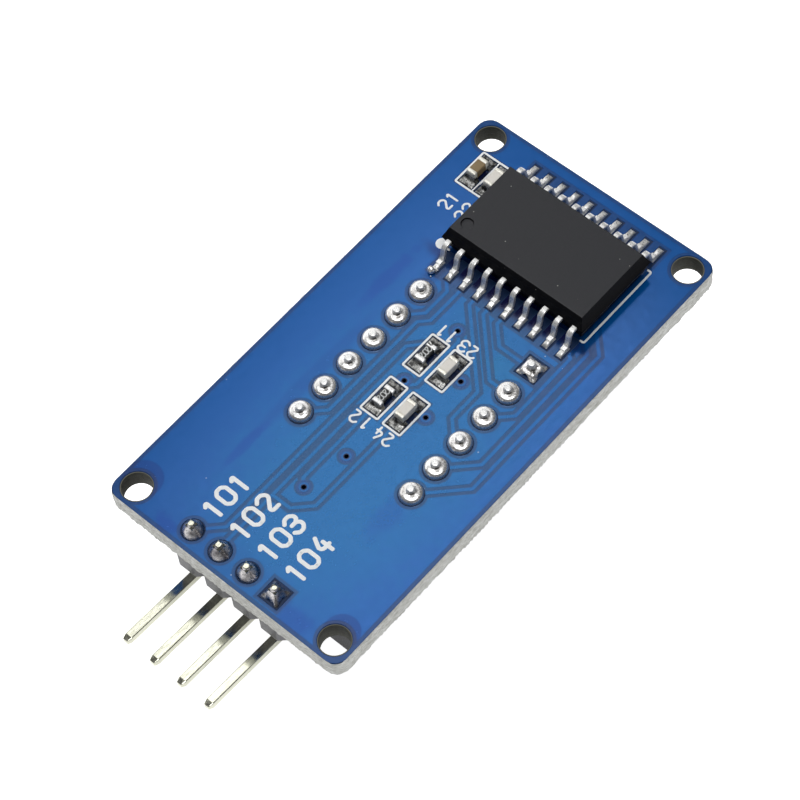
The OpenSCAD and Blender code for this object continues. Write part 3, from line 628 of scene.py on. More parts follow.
@dataclass(frozen=True)
class MaskFinish:
    """Glossy blue mask: bright where copper lies below it, darker in the gaps, with flux marks, painted shadows, a
    painted highlight and rings at the vias.
    """

    name: str
    over_copper: Color = (0.0, 0.098, 0.380)
    over_gap: Color = (0.001, 0.054, 0.215)
    via_land: Color = (0.004, 0.078, 0.340)
    via_rim: Color = (0.003, 0.052, 0.250)
    via_hole: Color = (0.001, 0.008, 0.055)
    gap_level: float = 8.8035
    copper_level: float = 8.8065
    stains_and_painted_light: tuple[StainOrPaintedLight, ...] = ()
    vias: tuple[tuple[float, float], ...] = ()

    def via_rings(self, g: Graph, place: bpy.types.NodeSocket, color: bpy.types.NodeSocket) -> bpy.types.NodeSocket:
        """Colours each via by the distance r to the nearest one: hole wall below 0.23, land to 0.37, rim to 0.56.

        Args:
            g: The material's graph.
            place: The point's place in millimetres.
            color: The mask's colour elsewhere.

        Returns:
            The colour with the rings in it.
        """
        flat = g.add("VectorMath", {0: place, 1: (1.0, 1.0, 0.0)}, operation="MULTIPLY").outputs[0]
        nearest = None
        for x, y in self.vias:
            reach = g.add("VectorMath", {0: flat, 1: (x, y, 0.0)}, operation="DISTANCE").outputs["Value"]
            nearest = reach if nearest is None else g.maths("MINIMUM", nearest, reach)
        for edge, soft, shade in ((0.56, 0.05, self.via_rim), (0.37, 0.04, self.via_land), (0.225, 0.01, self.via_hole)):
            color = g.mix(g.between(nearest, edge - soft, edge + soft, 1.0, 0.0), color, shade)
        return color

    def material(self, effects: Effects) -> bpy.types.Material:
        """Builds the material.

        Args:
            effects: The shared groups.

        Returns:
            The material.
        """
        material, g, shader = new_surface(self.name)
        place = g.millimetres()
        level = g.between(g.add("SeparateXYZ", {0: place}).outputs[2], self.gap_level, self.copper_level)
        color = g.mix(level, self.over_gap, self.over_copper)
        grain = g.group(effects.grain, {"Place": place, "Size": 0.5, "Contrast": 1.0})
        color = g.mix(g.between(grain.outputs["Patches"], 0.2, 0.8, 0.0, 0.12), color, (0.0, 0.084, 0.33))
        if self.vias:
            color = self.via_rings(g, place, color)
        flux = None
        # Each mark multiplies the colour; besides flux marks these include painted shadows and a painted highlight,
        # which also make the mask rougher.
        for stain_or_light in self.stains_and_painted_light:
            spot = g.group(effects.smear, {"Place": place, "Centre": (stain_or_light.x, stain_or_light.y, self.copper_level),
                                           "Size": (stain_or_light.reach_x, stain_or_light.reach_y, 50.0), "Edge": stain_or_light.edge, "Ragged": stain_or_light.ragged})
            mask = g.maths("MULTIPLY", spot.outputs[0], stain_or_light.strength)
            color = g.mix(mask, color, stain_or_light.shade, "MULTIPLY")
            flux = mask if flux is None else g.maths("MAXIMUM", flux, mask)
        dust = g.group(effects.specks, {"Place": place, "Cell": 1.1, "Radius": 0.07, "Share": 0.10})
        color = g.mix(g.maths("MULTIPLY", dust.outputs[0], 0.7), color, (0.45, 0.6, 0.8))
        g.tree.links.new(color, shader.inputs["Base Color"])
        rough = g.between(grain.outputs["Fine"], 0.2, 0.8, 0.15, 0.22)
        if flux is not None:
            rough = g.maths("ADD", rough, g.maths("MULTIPLY", flux, 0.08))
        g.tree.links.new(rough, shader.inputs["Roughness"])
        g.tree.links.new(g.between(level, 0.0, 1.0, 0.12, 0.40), shader.inputs["Metallic"])
        shader.inputs["Coat Weight"].default_value = 0.25
        shader.inputs["Coat Roughness"].default_value = 0.12
        shader.inputs["Specular IOR Level"].default_value = 0.4
        swell = g.add("TexNoise", {"Vector": place, "Scale": 1.6, "Detail": 2.0}).outputs[0]
        height = g.maths("ADD", g.maths("MULTIPLY", swell, 1.0), g.maths("MULTIPLY", dust.outputs[0], 1.0))
        bump = g.add("Bump", {"Strength": 0.6, "Distance": 0.008 * MM, "Height": height})
        g.tree.links.new(bump.outputs[0], shader.inputs["Normal"])
        return material


@dataclass(frozen=True)
class LaminateFinish:
    """Cut glass epoxy: layers of cloth seen on edge, with torn fibres, dark drilled holes and a dark face round the pads.

    The four holes are one after both axes are folded: u = |x - middle x| - half spacing, and the same for y.
    """

    name: str
    pale: Color
    dark: Color
    layer: float = 0.17
    middle: tuple[float, float] = (0.9, 0.75)
    half_spacing: tuple[float, float] = (18.65, 9.1)
    half_face: tuple[float, float] = (20.1, 10.55)
    face_level: float = 8.745
    face: Color = (0.003, 0.030, 0.105)
    hole_radius: float = 1.1
    wall: Color = (0.040, 0.042, 0.028)
    rim: Color = (0.20, 0.19, 0.12)

    def drilled(self, g: Graph, color: bpy.types.NodeSocket) -> bpy.types.NodeSocket:
        """Darkens the face inside the board's rim, the holes' walls and the bare ring round each.

        Args:
            g: The material's graph.
            color: The laminate's colour elsewhere.

        Returns:
            The colour with the holes in it.
        """
        parts = g.add("SeparateXYZ", {0: g.millimetres()}).outputs
        folded, inside = [], g.maths("GREATER_THAN", parts[2], self.face_level)
        for axis in (0, 1):
            off = g.maths("ABSOLUTE", g.maths("SUBTRACT", parts[axis], self.middle[axis]))
            folded.append(g.maths("SUBTRACT", off, self.half_spacing[axis]))
            inside = g.maths("MULTIPLY", inside, g.maths("LESS_THAN", off, self.half_face[axis]))
        color = g.mix(inside, color, self.face)
        squares = [g.maths("MULTIPLY", value, value) for value in folded]
        reach = g.maths("SQRT", g.maths("ADD", *squares))
        edge = self.hole_radius
        color = g.mix(g.between(reach, edge + 0.04, edge + 0.08, 1.0, 0.0), color, self.rim)
        return g.mix(g.between(reach, edge + 0.01, edge + 0.04, 1.0, 0.0), color, self.wall)

    def material(self, effects: Effects) -> bpy.types.Material:
        """Builds the material.

        Args:
            effects: The shared groups.

        Returns:
            The material.
        """
        material, g, shader = new_surface(self.name)
        place = g.millimetres((0.35, 0.35, 1.0))
        layers = g.group(effects.grain, {"Place": place, "Size": self.layer, "Contrast": 2.2})
        fibre = g.group(effects.grain, {"Place": g.millimetres(), "Size": 0.05, "Contrast": 1.5})
        share = g.maths("MULTIPLY", layers.outputs["Fine"], g.maths("ADD", fibre.outputs["Fine"], 0.5))
        color = self.drilled(g, g.mix(share, self.dark, self.pale))
        g.tree.links.new(color, shader.inputs["Base Color"])
        g.tree.links.new(g.between(fibre.outputs["Fine"], 0.2, 0.8, 0.6, 0.9), shader.inputs["Roughness"])
        bump = g.add("Bump", {"Strength": 1.0, "Distance": 0.03 * MM, "Height": share})
        g.tree.links.new(bump.outputs[0], shader.inputs["Normal"])
        return material


def dress(piece: bpy.types.Object, material: bpy.types.Material) -> bpy.types.Object:
    """Puts one material on every slot of a piece.

    Args:
        piece: The piece or solid.
        material: Its finish.

    Returns:
        The piece.
    """
    for place in piece.material_slots:
        place.material = material
    if not piece.material_slots:
        piece.data.materials.append(material)
    return piece


class Palette:
    """Every finish of the module, built once."""

    def __init__(self) -> None:
        """Builds the shared groups and the materials."""
        effects = Effects()
        flux_blue = (0.62, 0.70, 0.95)
        stains_and_painted_light = (
            # Painted highlight: the middle of the mask made brighter and greener where the lamp's sheen over the copper
            # lies.
            StainOrPaintedLight(-4.5, -1.0, 15.5, 7.2, (1.0, 1.42, 1.06), 1.0, 0.45, 0.25),
            # Painted shadow: the mask darkened along the chip's near row of leads, where the body shades it.
            StainOrPaintedLight(9.5, -0.1, 0.95, 6.3, (1.0, 0.45, 0.60), 0.75, 0.35, 0.2),
            StainOrPaintedLight(9.8, -0.1, 0.95, 6.6, (1.0, 0.05, 0.28), 1.0, 0.30, 0.1),
            StainOrPaintedLight(-17.10, 9.95, 1.50, 1.50, (0.60, 0.55, 0.72), 0.8, 0.06),
            StainOrPaintedLight(-17.00, -8.30, 1.30, 1.30, (0.60, 0.55, 0.72), 0.8, 0.06),
            StainOrPaintedLight(-10.5, 6.3, 2.2, 0.35, flux_blue, 0.7, 0.4, 0.8),
            StainOrPaintedLight(-3.5, 6.4, 6.0, 0.55, (0.75, 0.80, 0.92), 0.8, 0.4, 0.5),
            StainOrPaintedLight(5.8, 7.7, 2.8, 0.5, flux_blue, 0.6, 0.4, 0.8),
            StainOrPaintedLight(-8.5, -5.0, 1.9, 0.9, flux_blue, 0.6, 0.5, 0.9),
            StainOrPaintedLight(-18.5, 6.2, 0.5, 1.0, flux_blue, 0.8, 0.5, 0.9),
            StainOrPaintedLight(-18.3, -5.2, 0.8, 1.5, flux_blue, 0.8, 0.5, 0.9),
            StainOrPaintedLight(-17.8, 0.8, 1.2, 4.8, (0.80, 0.88, 0.95), 0.7, 0.3, 0.6),
            StainOrPaintedLight(8.3, 5.5, 1.0, 0.6, (0.35, 0.5, 0.6), 0.7, 0.4, 0.8),
            StainOrPaintedLight(5.2, -3.6, 0.9, 1.4, (1.25, 1.15, 0.95), 0.6, 0.5, 0.9),
            # Painted shade: the mask darkened between the pads under each small part.
            *(StainOrPaintedLight(x, y, 0.85, 0.95, (1.0, 0.08, 0.14), 1.0, 0.12)
              for x, y in ((2.62, 1.37), (-1.82, 1.37), (16.72, 8.65), (16.72, 7.09), (2.62, -0.68), (-1.82, -0.68))),
        )
        vias = ((-10.55, 0.95), (-6.93, 0.3), (0.1, 1.2), (5.5, 0.95), (-1.2, -1.9), (2.5, -1.9))
        self.mask = MaskFinish("blue_mask_rear", stains_and_painted_light=stains_and_painted_light, vias=vias).material(effects)
        self.front_mask = MaskFinish("blue_mask_front", (0.0, 0.055, 0.220), gap_level=7.19, copper_level=7.2).material(effects)
        self.laminate = LaminateFinish("laminate", (0.88, 0.89, 0.87), (0.46, 0.46, 0.42)).material(effects)
        self.inner_laminate = LaminateFinish("inner_laminate", (0.20, 0.34, 0.14), (0.09, 0.18, 0.06)).material(effects)
        self.ink = Moulding("white_ink", (0.97, 0.98, 0.98), (0.88, 0.91, 0.93), 0.45, 0.65, 0.08, 0.004).material(effects)
        self.small_ink = Moulding("resistor_ink", (0.74, 0.75, 0.75), (0.55, 0.57, 0.58), 0.45, 0.65, 0.05, 0.003).material(effects)
        # Pad copper: a dark flux film, made darker still as painted shade, for the shade beside the chip's leads and
        # round the joints.
        self.pad_film_and_painted_shade = Moulding("fluxed_pad_and_painted_shade", (0.004, 0.026, 0.090), (0.003, 0.016, 0.060), 0.35, 0.5, 0.06, 0.002, specular=0.3).material(effects)
        self.plating = Metal("hole_plating", (0.020, 0.045, 0.240), (0.008, 0.020, 0.120), 0.3, 0.5, 0.1, 0.003).material(effects)
        # Display joint solder, with the painted shade beside each pin.
        self.solder = Metal("bright_solder", (0.95, 0.94, 0.93), (0.80, 0.78, 0.76), 0.24, 0.38, 0.14, 0.0008, specks=0.05, painted_pin_shade=True, metallic=0.85).material(effects)
        self.dark_solder = Metal("dull_solder", (0.62, 0.60, 0.60), (0.26, 0.25, 0.26), 0.20, 0.38, 0.14, 0.003, specks=0.08).material(effects)
        self.rough_solder = Metal("rough_solder", (0.34, 0.34, 0.33), (0.05, 0.05, 0.05), 0.18, 0.45, 0.08, 0.008, specks=0.3).material(effects)
        self.warm_tin = Metal("tinned_ceramic_end", (0.93, 0.91, 0.82), (0.84, 0.81, 0.72), 0.28, 0.42, 0.10, 0.0006, metallic=0.7).material(effects)
        self.toe_solder = Metal("toe_solder", (0.94, 0.94, 0.92), (0.68, 0.68, 0.66), 0.26, 0.44, 0.12, 0.002, specks=0.08, metallic=0.65).material(effects)
        self.tin = Metal("tinned_lead", (0.94, 0.94, 0.93), (0.84, 0.84, 0.83), 0.26, 0.36, 0.08, 0.0002, metallic=0.62).material(effects)
        self.pin_tin = Metal("tinned_pin", (0.66, 0.66, 0.54), (0.56, 0.56, 0.46), 0.10, 0.20, 0.12, 0.0008, (0.25, 1.5, 1.5)).material(effects)
        self.chip = Moulding("chip_moulding", (0.002, 0.003, 0.007), (0.006, 0.007, 0.012), 0.38, 0.50, 0.045, 0.003,
                             0.09, (0.40, 0.39, 0.36), 0.52).material(effects)
        # A darker, less glossy copy of the chip's moulding for its sides and bevel: painted shade.
        self.chip_side_painted_shade = Moulding("chip_side_painted_shade_moulding", (0.0015, 0.0015, 0.002), (0.004, 0.004, 0.005), 0.45, 0.6, 0.045, 0.003,
                                  0.04, (0.20, 0.19, 0.18), 0.1).material(effects)
        self.header = Moulding("header_moulding", (0.11, 0.11, 0.118), (0.145, 0.145, 0.155), 0.35, 0.55, 0.08, 0.004).material(effects)
        self.glaze = Moulding("black_glaze", (0.012, 0.012, 0.013), (0.022, 0.022, 0.022), 0.18, 0.32, 0.08, 0.003).material(effects)
        self.cream = Moulding("cream_ceramic", (0.74, 0.71, 0.64), (0.84, 0.81, 0.76), 0.38, 0.55, 0.08, 0.004).material(effects)
        self.brown = Moulding("brown_ceramic", (0.19, 0.130, 0.055), (0.29, 0.205, 0.10), 0.38, 0.55, 0.08, 0.004).material(effects)
        self.case = Moulding("display_case", (0.016, 0.016, 0.018), (0.026, 0.026, 0.028), 0.38, 0.55, 0.10, 0.006, 0.03).material(effects)
        self.film = Moulding("face_film", (0.028, 0.028, 0.031), (0.036, 0.036, 0.040), 0.50, 0.62, 0.06, 0.003, 0.02).material(effects)
        self.light = Moulding("light_bar", (0.72, 0.72, 0.69), (0.82, 0.82, 0.79), 0.30, 0.42, 0.25, 0.004, specular=0.5).material(effects)
        self.resin = Moulding("cast_resin", (0.52, 0.48, 0.38), (0.64, 0.60, 0.50), 0.15, 0.30, 0.60, 0.02).material(effects)
        self.die = Moulding("die", (0.70, 0.55, 0.12), (0.52, 0.40, 0.10), 0.25, 0.40, 0.05, 0.002).material(effects)


# Sub-assemblies


@dataclass
class Levels:
    """Heights that the pieces share, in millimetres above the display's face."""

    core_low: float = 7.255
    core_high: float = 8.755
    pad: float = 8.79
    print_base: float = 8.81


@dataclass
class BoardLook:
    """The circuit board: laminate with torn fibres at its edge, mask, copper, plating and ink."""

    frame: dict
    palette: Palette
    levels: Levels
    centre: tuple[float, float] = (0.9, 0.75)
    length: float = 40.4
    width: float = 21.3
    corner: float = 1.1
    fibre_reach: float = 0.06
    spacing: float = 0.08

    def dress_solids(self) -> None:
        """Dresses the board's own solids."""
        nodes, p = self.frame["nodes"], self.palette
        dress(nodes["circuit_board"], p.laminate)
        dress(nodes["rear_mask"], p.mask)
        dress(nodes["front_mask"], p.front_mask)
        dress(nodes["rear_copper"], p.pad_film_and_painted_shade)
        dress(nodes["hole_plating"], p.plating)

    def edge_fibres(self) -> bpy.types.Object:
        """The torn skin of the cut edge: outline + outward * reach * (0.5 + 0.5 ripple), from bottom to top.

        Returns:
            The piece.
        """
        corner_steps = 12
        loop = rounded_loop(self.length, self.width, self.corner, corner_steps)
        nexts = np.roll(loop, -1, 0)
        gaps = np.linalg.norm(nexts - loop, axis=1)
        run = np.concatenate([[0], np.cumsum(gaps)])
        total = run[-1]
        s = np.linspace(0, total, int(total / self.spacing), endpoint=False)
        closed = np.concatenate([loop, loop[:1]])
        x, y = (np.interp(s, run, closed[:, k]) for k in (0, 1))
        ahead = np.stack([np.roll(x, -1) - np.roll(x, 1), np.roll(y, -1) - np.roll(y, 1)], 1)
        ahead /= np.linalg.norm(ahead, axis=1, keepdims=True)
        outward = np.stack([ahead[:, 1], -ahead[:, 0]], 1)
        rows = np.linspace(0, 1, 15)
        low, high = self.levels.core_low, self.levels.core_high
        layers = ripple(s[:, None] * 0.4, rows[None] * 2.2, 3, 12, 16.0)
        tears = ripple(s[:, None] * 2.0, rows[None] * 0.9, 5, 14, 9.0)
        lift = self.fibre_reach * np.clip(0.45 + 0.3 * layers + 0.35 * tears, 0.03, 1.4)
        lift[:, -1] = 0.0
        ragged = 0.05 * np.clip(ripple(s, s * 0.0, 11, 16, 9.0), 0, 1.2)
        z = low - (1 - rows[None]) ** 4 * ragged[:, None] + (high - low) * rows[None]
        base = np.stack([x, y], 1)[:, None, :] + np.array(self.centre)
        outer = base + outward[:, None, :] * lift[..., None]
        inner = base - outward[:, None, :] * 0.25 + 0 * lift[:, ::14, None]
        inner_z = np.broadcast_to(np.array([high - 0.03, low + 0.1]), (len(s), 2))
        ring = np.concatenate([np.concatenate([outer, z[..., None]], 2),
                               np.concatenate([inner, inner_z[..., None]], 2)], 1)
        shell = Shell()
        shell.add(ring, wrap_rows=True)
        piece = shell.build("board_edge_fibres", 60)
        return dress(piece, self.palette.laminate)


@dataclass
class InkLook:
    """The white print: numbers, boxes, the chip's end lines and the dot at its first lead."""

    palette: Palette
    levels: Levels
    thickness: float = 0.02
    stroke: float = 0.17
    label_stroke: float = 0.31
    label_height: float = 1.45
    mark_height: float = 0.95
    glyph_width: float = 0.62
    box: tuple[float, float] = (3.2, 1.56)
    header_x: float = -17.75
    header_y: tuple[float, ...] = (4.56, 2.02, -0.52, -3.06)
    resistors: tuple[tuple[float, float], ...] = ((2.62, 1.37), (-1.82, 1.37))
    capacitors: tuple[tuple[float, float], ...] = ((16.72, 8.65), (16.72, 7.09), (2.62, -0.68), (-1.82, -0.68))
    chip: tuple[float, float] = (14.02, -0.18)
    first_mark: tuple[float, float] = (10.38, 6.61)
    first_mark_radius: float = 0.47
    shell: Shell = field(default_factory=Shell)

    def glyph(self, digit: int) -> list[list[tuple[float, float]]]:
        """Strokes of a digit from 0 to 4 in a cell of height 1.

        Args:
            digit: The digit.

        Returns:
            Its strokes, each a list of points.
        """
        w, c = self.glyph_width, 0.18
        return {
            0: [[(w / 2, 0), (w - c, 0), (w, c), (w, 1 - c), (w - c, 1), (w / 2, 1)],
                [(w / 2, 1), (c, 1), (0, 1 - c), (0, c), (c, 0), (w / 2, 0)]],
            1: [[(w / 2 - c, 1 - c), (w / 2, 1), (w / 2, 0)]],
            2: [[(0, 1 - c), (c, 1), (w - c, 1), (w, 1 - c), (w, 0.66), (0.05, 0), (w, 0)]],
            3: [[(0, 1 - c), (c, 1), (w - c, 1), (w, 1 - c), (w, 0.65), (w - c, 0.52), (c, 0.52)],
                [(w - c, 0.52), (w, 0.38), (w, c), (w - c, 0), (c, 0), (0, c)]],
            4: [[(w * 0.6, 1), (0, 0.32), (w, 0.32)], [(w * 0.78, 0.6), (w * 0.78, 0)]],
        }[digit]

    def line(self, shell: Shell, corners: Sequence[Sequence[float]], width: float, z: float, thick: float,
             ease: float = 0.9) -> None:
        """Adds one stroke with round ends: a low arch carried along the path, shrunk as sqrt(1 - t^2) past each end.

        Args:
            shell: Gathers the stroke.
            corners: Corner points of the stroke.
            width: Width of the stroke.
            z: Height that it lies on.
            thick: Thickness of the ink.
            ease: Rounding of its corners, in widths.
        """
        path = eased_path(corners, width * ease, 5)
        first = (path[0] - path[1]) / np.linalg.norm(path[0] - path[1])
        last = (path[-1] - path[-2]) / np.linalg.norm(path[-1] - path[-2])
        angle = np.linspace(np.pi / 2 - 0.08, 0, 6)[:-1, None]
        start = path[0] + first * width / 2 * np.sin(angle)
        end = path[-1] + last * width / 2 * np.sin(angle[::-1])
        scale = np.concatenate([np.cos(angle[:, 0]), np.ones(len(path)), np.cos(angle[::-1, 0])])
        full = np.concatenate([start, path, end])
        across = np.array([-0.5, -0.46, -0.3, 0, 0.3, 0.46, 0.5]) * width
        up = np.array([0.0, 0.6, 0.92, 1, 0.92, 0.6, 0.0]) * thick
        loop = np.stack([across, up], 1)
        grid = swept(full, loop, np.stack([scale, np.minimum(1, scale * 1.6)], 1))
        shell.add(placed(grid, z=z))

    def number(self, shell: Shell, digits: Sequence[int], x: float, y: float, height: float, width: float, turned: int = 0,
               z: float | None = None, thick: float | None = None) -> None:
        """Adds a number from its lower left corner.

        Args:
            shell: Gathers the strokes.
            digits: The digits in order.
            x: The corner's x.
            y: The corner's y.
            height: Height of a digit.
            width: Width of the strokes.
            turned: Quarter turns anticlockwise.
            z: Height that the ink lies on, or none for the mask.
            thick: Thickness of the ink, or none for the print's own.
        """
        turn = np.linalg.matrix_power(np.array([[0, -1], [1, 0]]), turned % 4)
        for k, digit in enumerate(digits):
            for stroke in self.glyph(digit):
                flat = np.array(stroke) * height + np.array([k * (self.glyph_width + 0.28) * height, 0])
                self.line(shell, flat @ turn.T + np.array([x, y]), width, self.levels.print_base if z is None else z,
                          self.thickness if thick is None else thick)

    def ring(self, x: float, y: float) -> None:
        """Adds the box round a small part."""
        half_x, half_y = self.box[0] / 2, self.box[1] / 2
        corners = [(x, y - half_y), (x + half_x, y - half_y), (x + half_x, y + half_y), (x, y + half_y)]
        other = [(x, y + half_y), (x - half_x, y + half_y), (x - half_x, y - half_y), (x, y - half_y)]
        for path in (corners, other):
            self.line(self.shell, path, self.stroke, self.levels.print_base, self.thickness, 0.55)

    def dot(self, x: float, y: float, radius: float) -> None:
        """Adds a filled dot: a low dome of rings.

        Args:
            x: The centre's x.
            y: The centre's y.
            radius: Its radius.
        """
        turn = np.linspace(0, 2 * np.pi, 40, endpoint=False)[None]
        reach = np.array([1.0, 0.97, 0.85, 0.4, 0.05])[:, None] * radius
        rise = np.array([0.0, 0.6, 0.95, 1.0, 1.0])[:, None] * self.thickness + 0 * turn
        grid = np.stack([reach * np.cos(turn), reach * np.sin(turn), rise], -1)
        self.shell.add(placed(grid, x, y, self.levels.print_base))

    def build(self) -> bpy.types.Object:
        """Makes all the print on the board.

        Returns:
            The piece.
        """
        s, half_box, rise = self.shell, self.box[0] / 2, self.mark_height + 0.12
        for i, y in enumerate(self.header_y, 1):
            self.number(s, [1, 0, i % 5], self.header_x + 1.6, y - self.label_height / 2 + 0.05, self.label_height, self.label_stroke)
        for x, y in self.resistors + self.capacitors:
            self.ring(x, y)
        (r1, r2), c = self.resistors, self.capacitors
        self.number(s, [1, 1], r1[0] + half_box + rise, r1[1] - 0.66, self.mark_height, self.stroke, 1)
        self.number(s, [1, 2], r2[0] - half_box - 0.28, r2[1] - 0.62, self.mark_height, self.stroke, 1)
        self.number(s, [2, 3], c[2][0] + half_box + rise, c[2][1] - 0.66, self.mark_height, self.stroke, 1)
        self.number(s, [2, 4], c[3][0] - half_box - 0.28, c[3][1] - 0.72, self.mark_height, self.stroke, 1)
        self.number(s, [2, 1], c[0][0] - half_box - 2.4, c[0][1] - self.mark_height / 2, self.mark_height, self.stroke)
        self.number(s, [2, 2], c[1][0] - half_box - 2.4, c[1][1] - self.mark_height / 2, self.mark_height, self.stroke)
        x, y = self.chip
        for end in (-1, 1):
            edge, tick = y + end * 6.32, y + end * 6.04
            self.line(s, [(x - 3.75, tick), (x - 3.75, edge), (x + 3.75, edge), (x + 3.75, tick)], self.stroke,
                      self.levels.print_base, self.thickness)
        self.dot(*self.first_mark, self.first_mark_radius)
        piece = s.build("print_ink", 50)
        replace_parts(piece, "rear_print")
        return dress(piece, self.palette.ink)


@dataclass
class ThroughJoints:
    """Display pins and header pins in their plated holes, and the solder round them."""

    palette: Palette
    levels: Levels
    pitch: float = 2.54
    row: float = 5.08
    pin_radius: float = 0.275
    pin_low: float = 4.8
    pin_top: float = 9.705
    display_land: float = 0.88
    display_height: float = 0.5
    display_hole: float = 0.425
    header_x: float = -17.75
    header_y: tuple[float, ...] = (4.56, 2.02, -0.52, -3.06)
    header_land: float = 0.805
    header_height: float = 0.90
    header_hole: float = 0.5
    square_side: float = 0.84
    pull: float = 0.24
    climb: float = 0.13
    climb_spread: float = 0.07

    def joint(self, x: float, y: float, inner: float, hole: float, land: float, height: float, power: float, bend: float,
              outline: Land, seed: int, star: float = 0.0) -> np.ndarray:
        """One joint: z = base + height (1 - t^power)^bend over the pad, t from the pin to the pad's rim, then down the hole.

        The solder climbs the pin by climb exp(-d / spread), d from the pin's side. On a square pad the rim is the curve
        |x|^8 + |y|^8 = side^8, drawn in by 1 - pull cos^2 2a, and ridges star h |sin 2a|^3 (1 - t^3) run to its corners.

        Args:
            x: The pin's x.
            y: The pin's y.
            inner: Radius where the solder starts, inside the pin.
            hole: Radius of the plated hole.
            land: Radius of the pad, or half its side.
            height: Height of the solder at the pin.
            power: Roundness of the dome.
            bend: Steepness at the rim.
            outline: The pad's outline.
            seed: Number that settles the unevenness.
            star: Height of the ridges on a square pad, as a share of the dome's.

        Returns:
            Grid of points whose rows run round the pin and whose columns go round the section.
        """
        turn = np.linspace(0, 2 * np.pi, 72, endpoint=False)[:, None]
        t = (0.5 - 0.5 * np.cos(np.linspace(0, np.pi, 30)))[None]
        rng = np.random.default_rng(seed)
        height = height * rng.uniform(0.94, 1.05)
        wave = ripple(np.cos(turn) * 1.2 + t * 1.5, np.sin(turn) * 1.2 + t, seed, 9, 2.6)
        if outline is Land.SQUARE:
            rim = land / (np.abs(np.cos(turn)) ** 8 + np.abs(np.sin(turn)) ** 8) ** 0.125 * (1 - self.pull * np.cos(2 * turn) ** 2)
            dome = height * np.clip(1 - (t * rim / (land * 0.9)) ** power, 0, None) ** bend
            ridge = star * height * np.abs(np.sin(2 * turn)) ** 3 * (1 - t ** 3)
            film = 0.04 * (1 - t ** 8)
            rise = (dome ** 3 + ridge ** 3 + film ** 3) ** (1 / 3)
        else:
            rim = land * (1 + 0.012 * ripple(np.cos(turn), np.sin(turn), seed + 50, 6, 3.0))
            rise = height * (1 - t ** power) ** bend
        reach = inner + (rim - inner) * t
        climb = np.exp(-np.maximum(reach - self.pin_radius, 0) / self.climb_spread)
        rise = rise * (1 + 0.015 * wave * np.sqrt(1 - t)) + self.climb * climb * (1 - t)
        low = self.levels.core_low - 0.035
        top = np.stack([reach * np.cos(turn), reach * np.sin(turn), self.levels.pad + rise], -1)
        radii = np.array([hole, hole, inner])[None] + 0 * turn
        heights = np.array([self.levels.pad, low, low])[None] + 0 * turn
        barrel = np.stack([radii * np.cos(turn), radii * np.sin(turn), heights], -1)
        return placed(np.concatenate([top, barrel], 1), x, y)

    def display_pin(self, x: float, y: float, seed: int) -> np.ndarray:
        """One round pin with a flat end: r = radius - ease (1 - cos a), z = top - ease (1 - sin a) round its edge.

        Args:
            x: The pin's x.
            y: The pin's y.
            seed: Number that settles the end's height.

        Returns:
            Grid of points.
        """
        rng = np.random.default_rng(seed)
        top = self.pin_top - rng.uniform(0, 0.05)
        ease = 0.06
        angle = np.linspace(0, np.pi / 2, 7)
        z = np.concatenate([[self.pin_low, self.pin_low + 1.0, top - 0.1], top - ease + ease * np.sin(angle), [top + 0.002]])
        r = np.concatenate([[self.pin_radius] * 3, self.pin_radius - ease + ease * np.cos(angle), [0.1]])[:, None]
        turn = np.linspace(0, 2 * np.pi, 32, endpoint=False)[None]
        grid = np.stack([r * np.cos(turn), r * np.sin(turn), z[:, None] + 0 * turn], -1)
        return placed(grid, x, y)

    def build_display(self) -> list[bpy.types.Object]:
        """Makes the display's pins and their solder.

        Returns:
            The pieces.
        """
        made = []
        joints = Shell()
        for row, label in ((1, "upper"), (-1, "lower")):
            pins = Shell()
            for column in range(6):
                x, y = (column - 2.5) * self.pitch, row * self.row
                seed = 20 * (row + 2) + column
                square = row < 0 and column == 5
                pins.add(self.display_pin(x, y, seed))
                joints.add(self.joint(x, y, 0.24, self.display_hole, self.square_side if square else self.display_land,
                                      self.display_height * (0.6 if square else 1.0), 5.5, 0.5,
                                      Land.SQUARE if square else Land.ROUND, seed, 0.8), wrap_rows=True)
            piece = pins.build(f"display_pins_{label}_tinned")
            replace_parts(piece, f"display_pins_{label}")
            made.append(dress(piece, self.palette.tin))
        piece = joints.build("display_joints", 55)
        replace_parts(piece, "display_solder")
        made.append(dress(piece, self.palette.solder))
        return made

    def build_header(self) -> bpy.types.Object:
        """Makes the solder of the header's pins.

        Returns:
            The piece.
        """
        joints = Shell()
        for i, y in enumerate(self.header_y):
            last = i == len(self.header_y) - 1
            joints.add(self.joint(self.header_x, y, 0.2, self.header_hole, self.header_land - (0.01 if last else 0),
                                  self.header_height, 1.15, 0.92, Land.SQUARE if last else Land.ROUND, 90 + i, 0.42),
                       wrap_rows=True)
        piece = joints.build("header_joints", 55)
        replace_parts(piece, "header_solder")
        return dress(piece, self.palette.dark_solder)


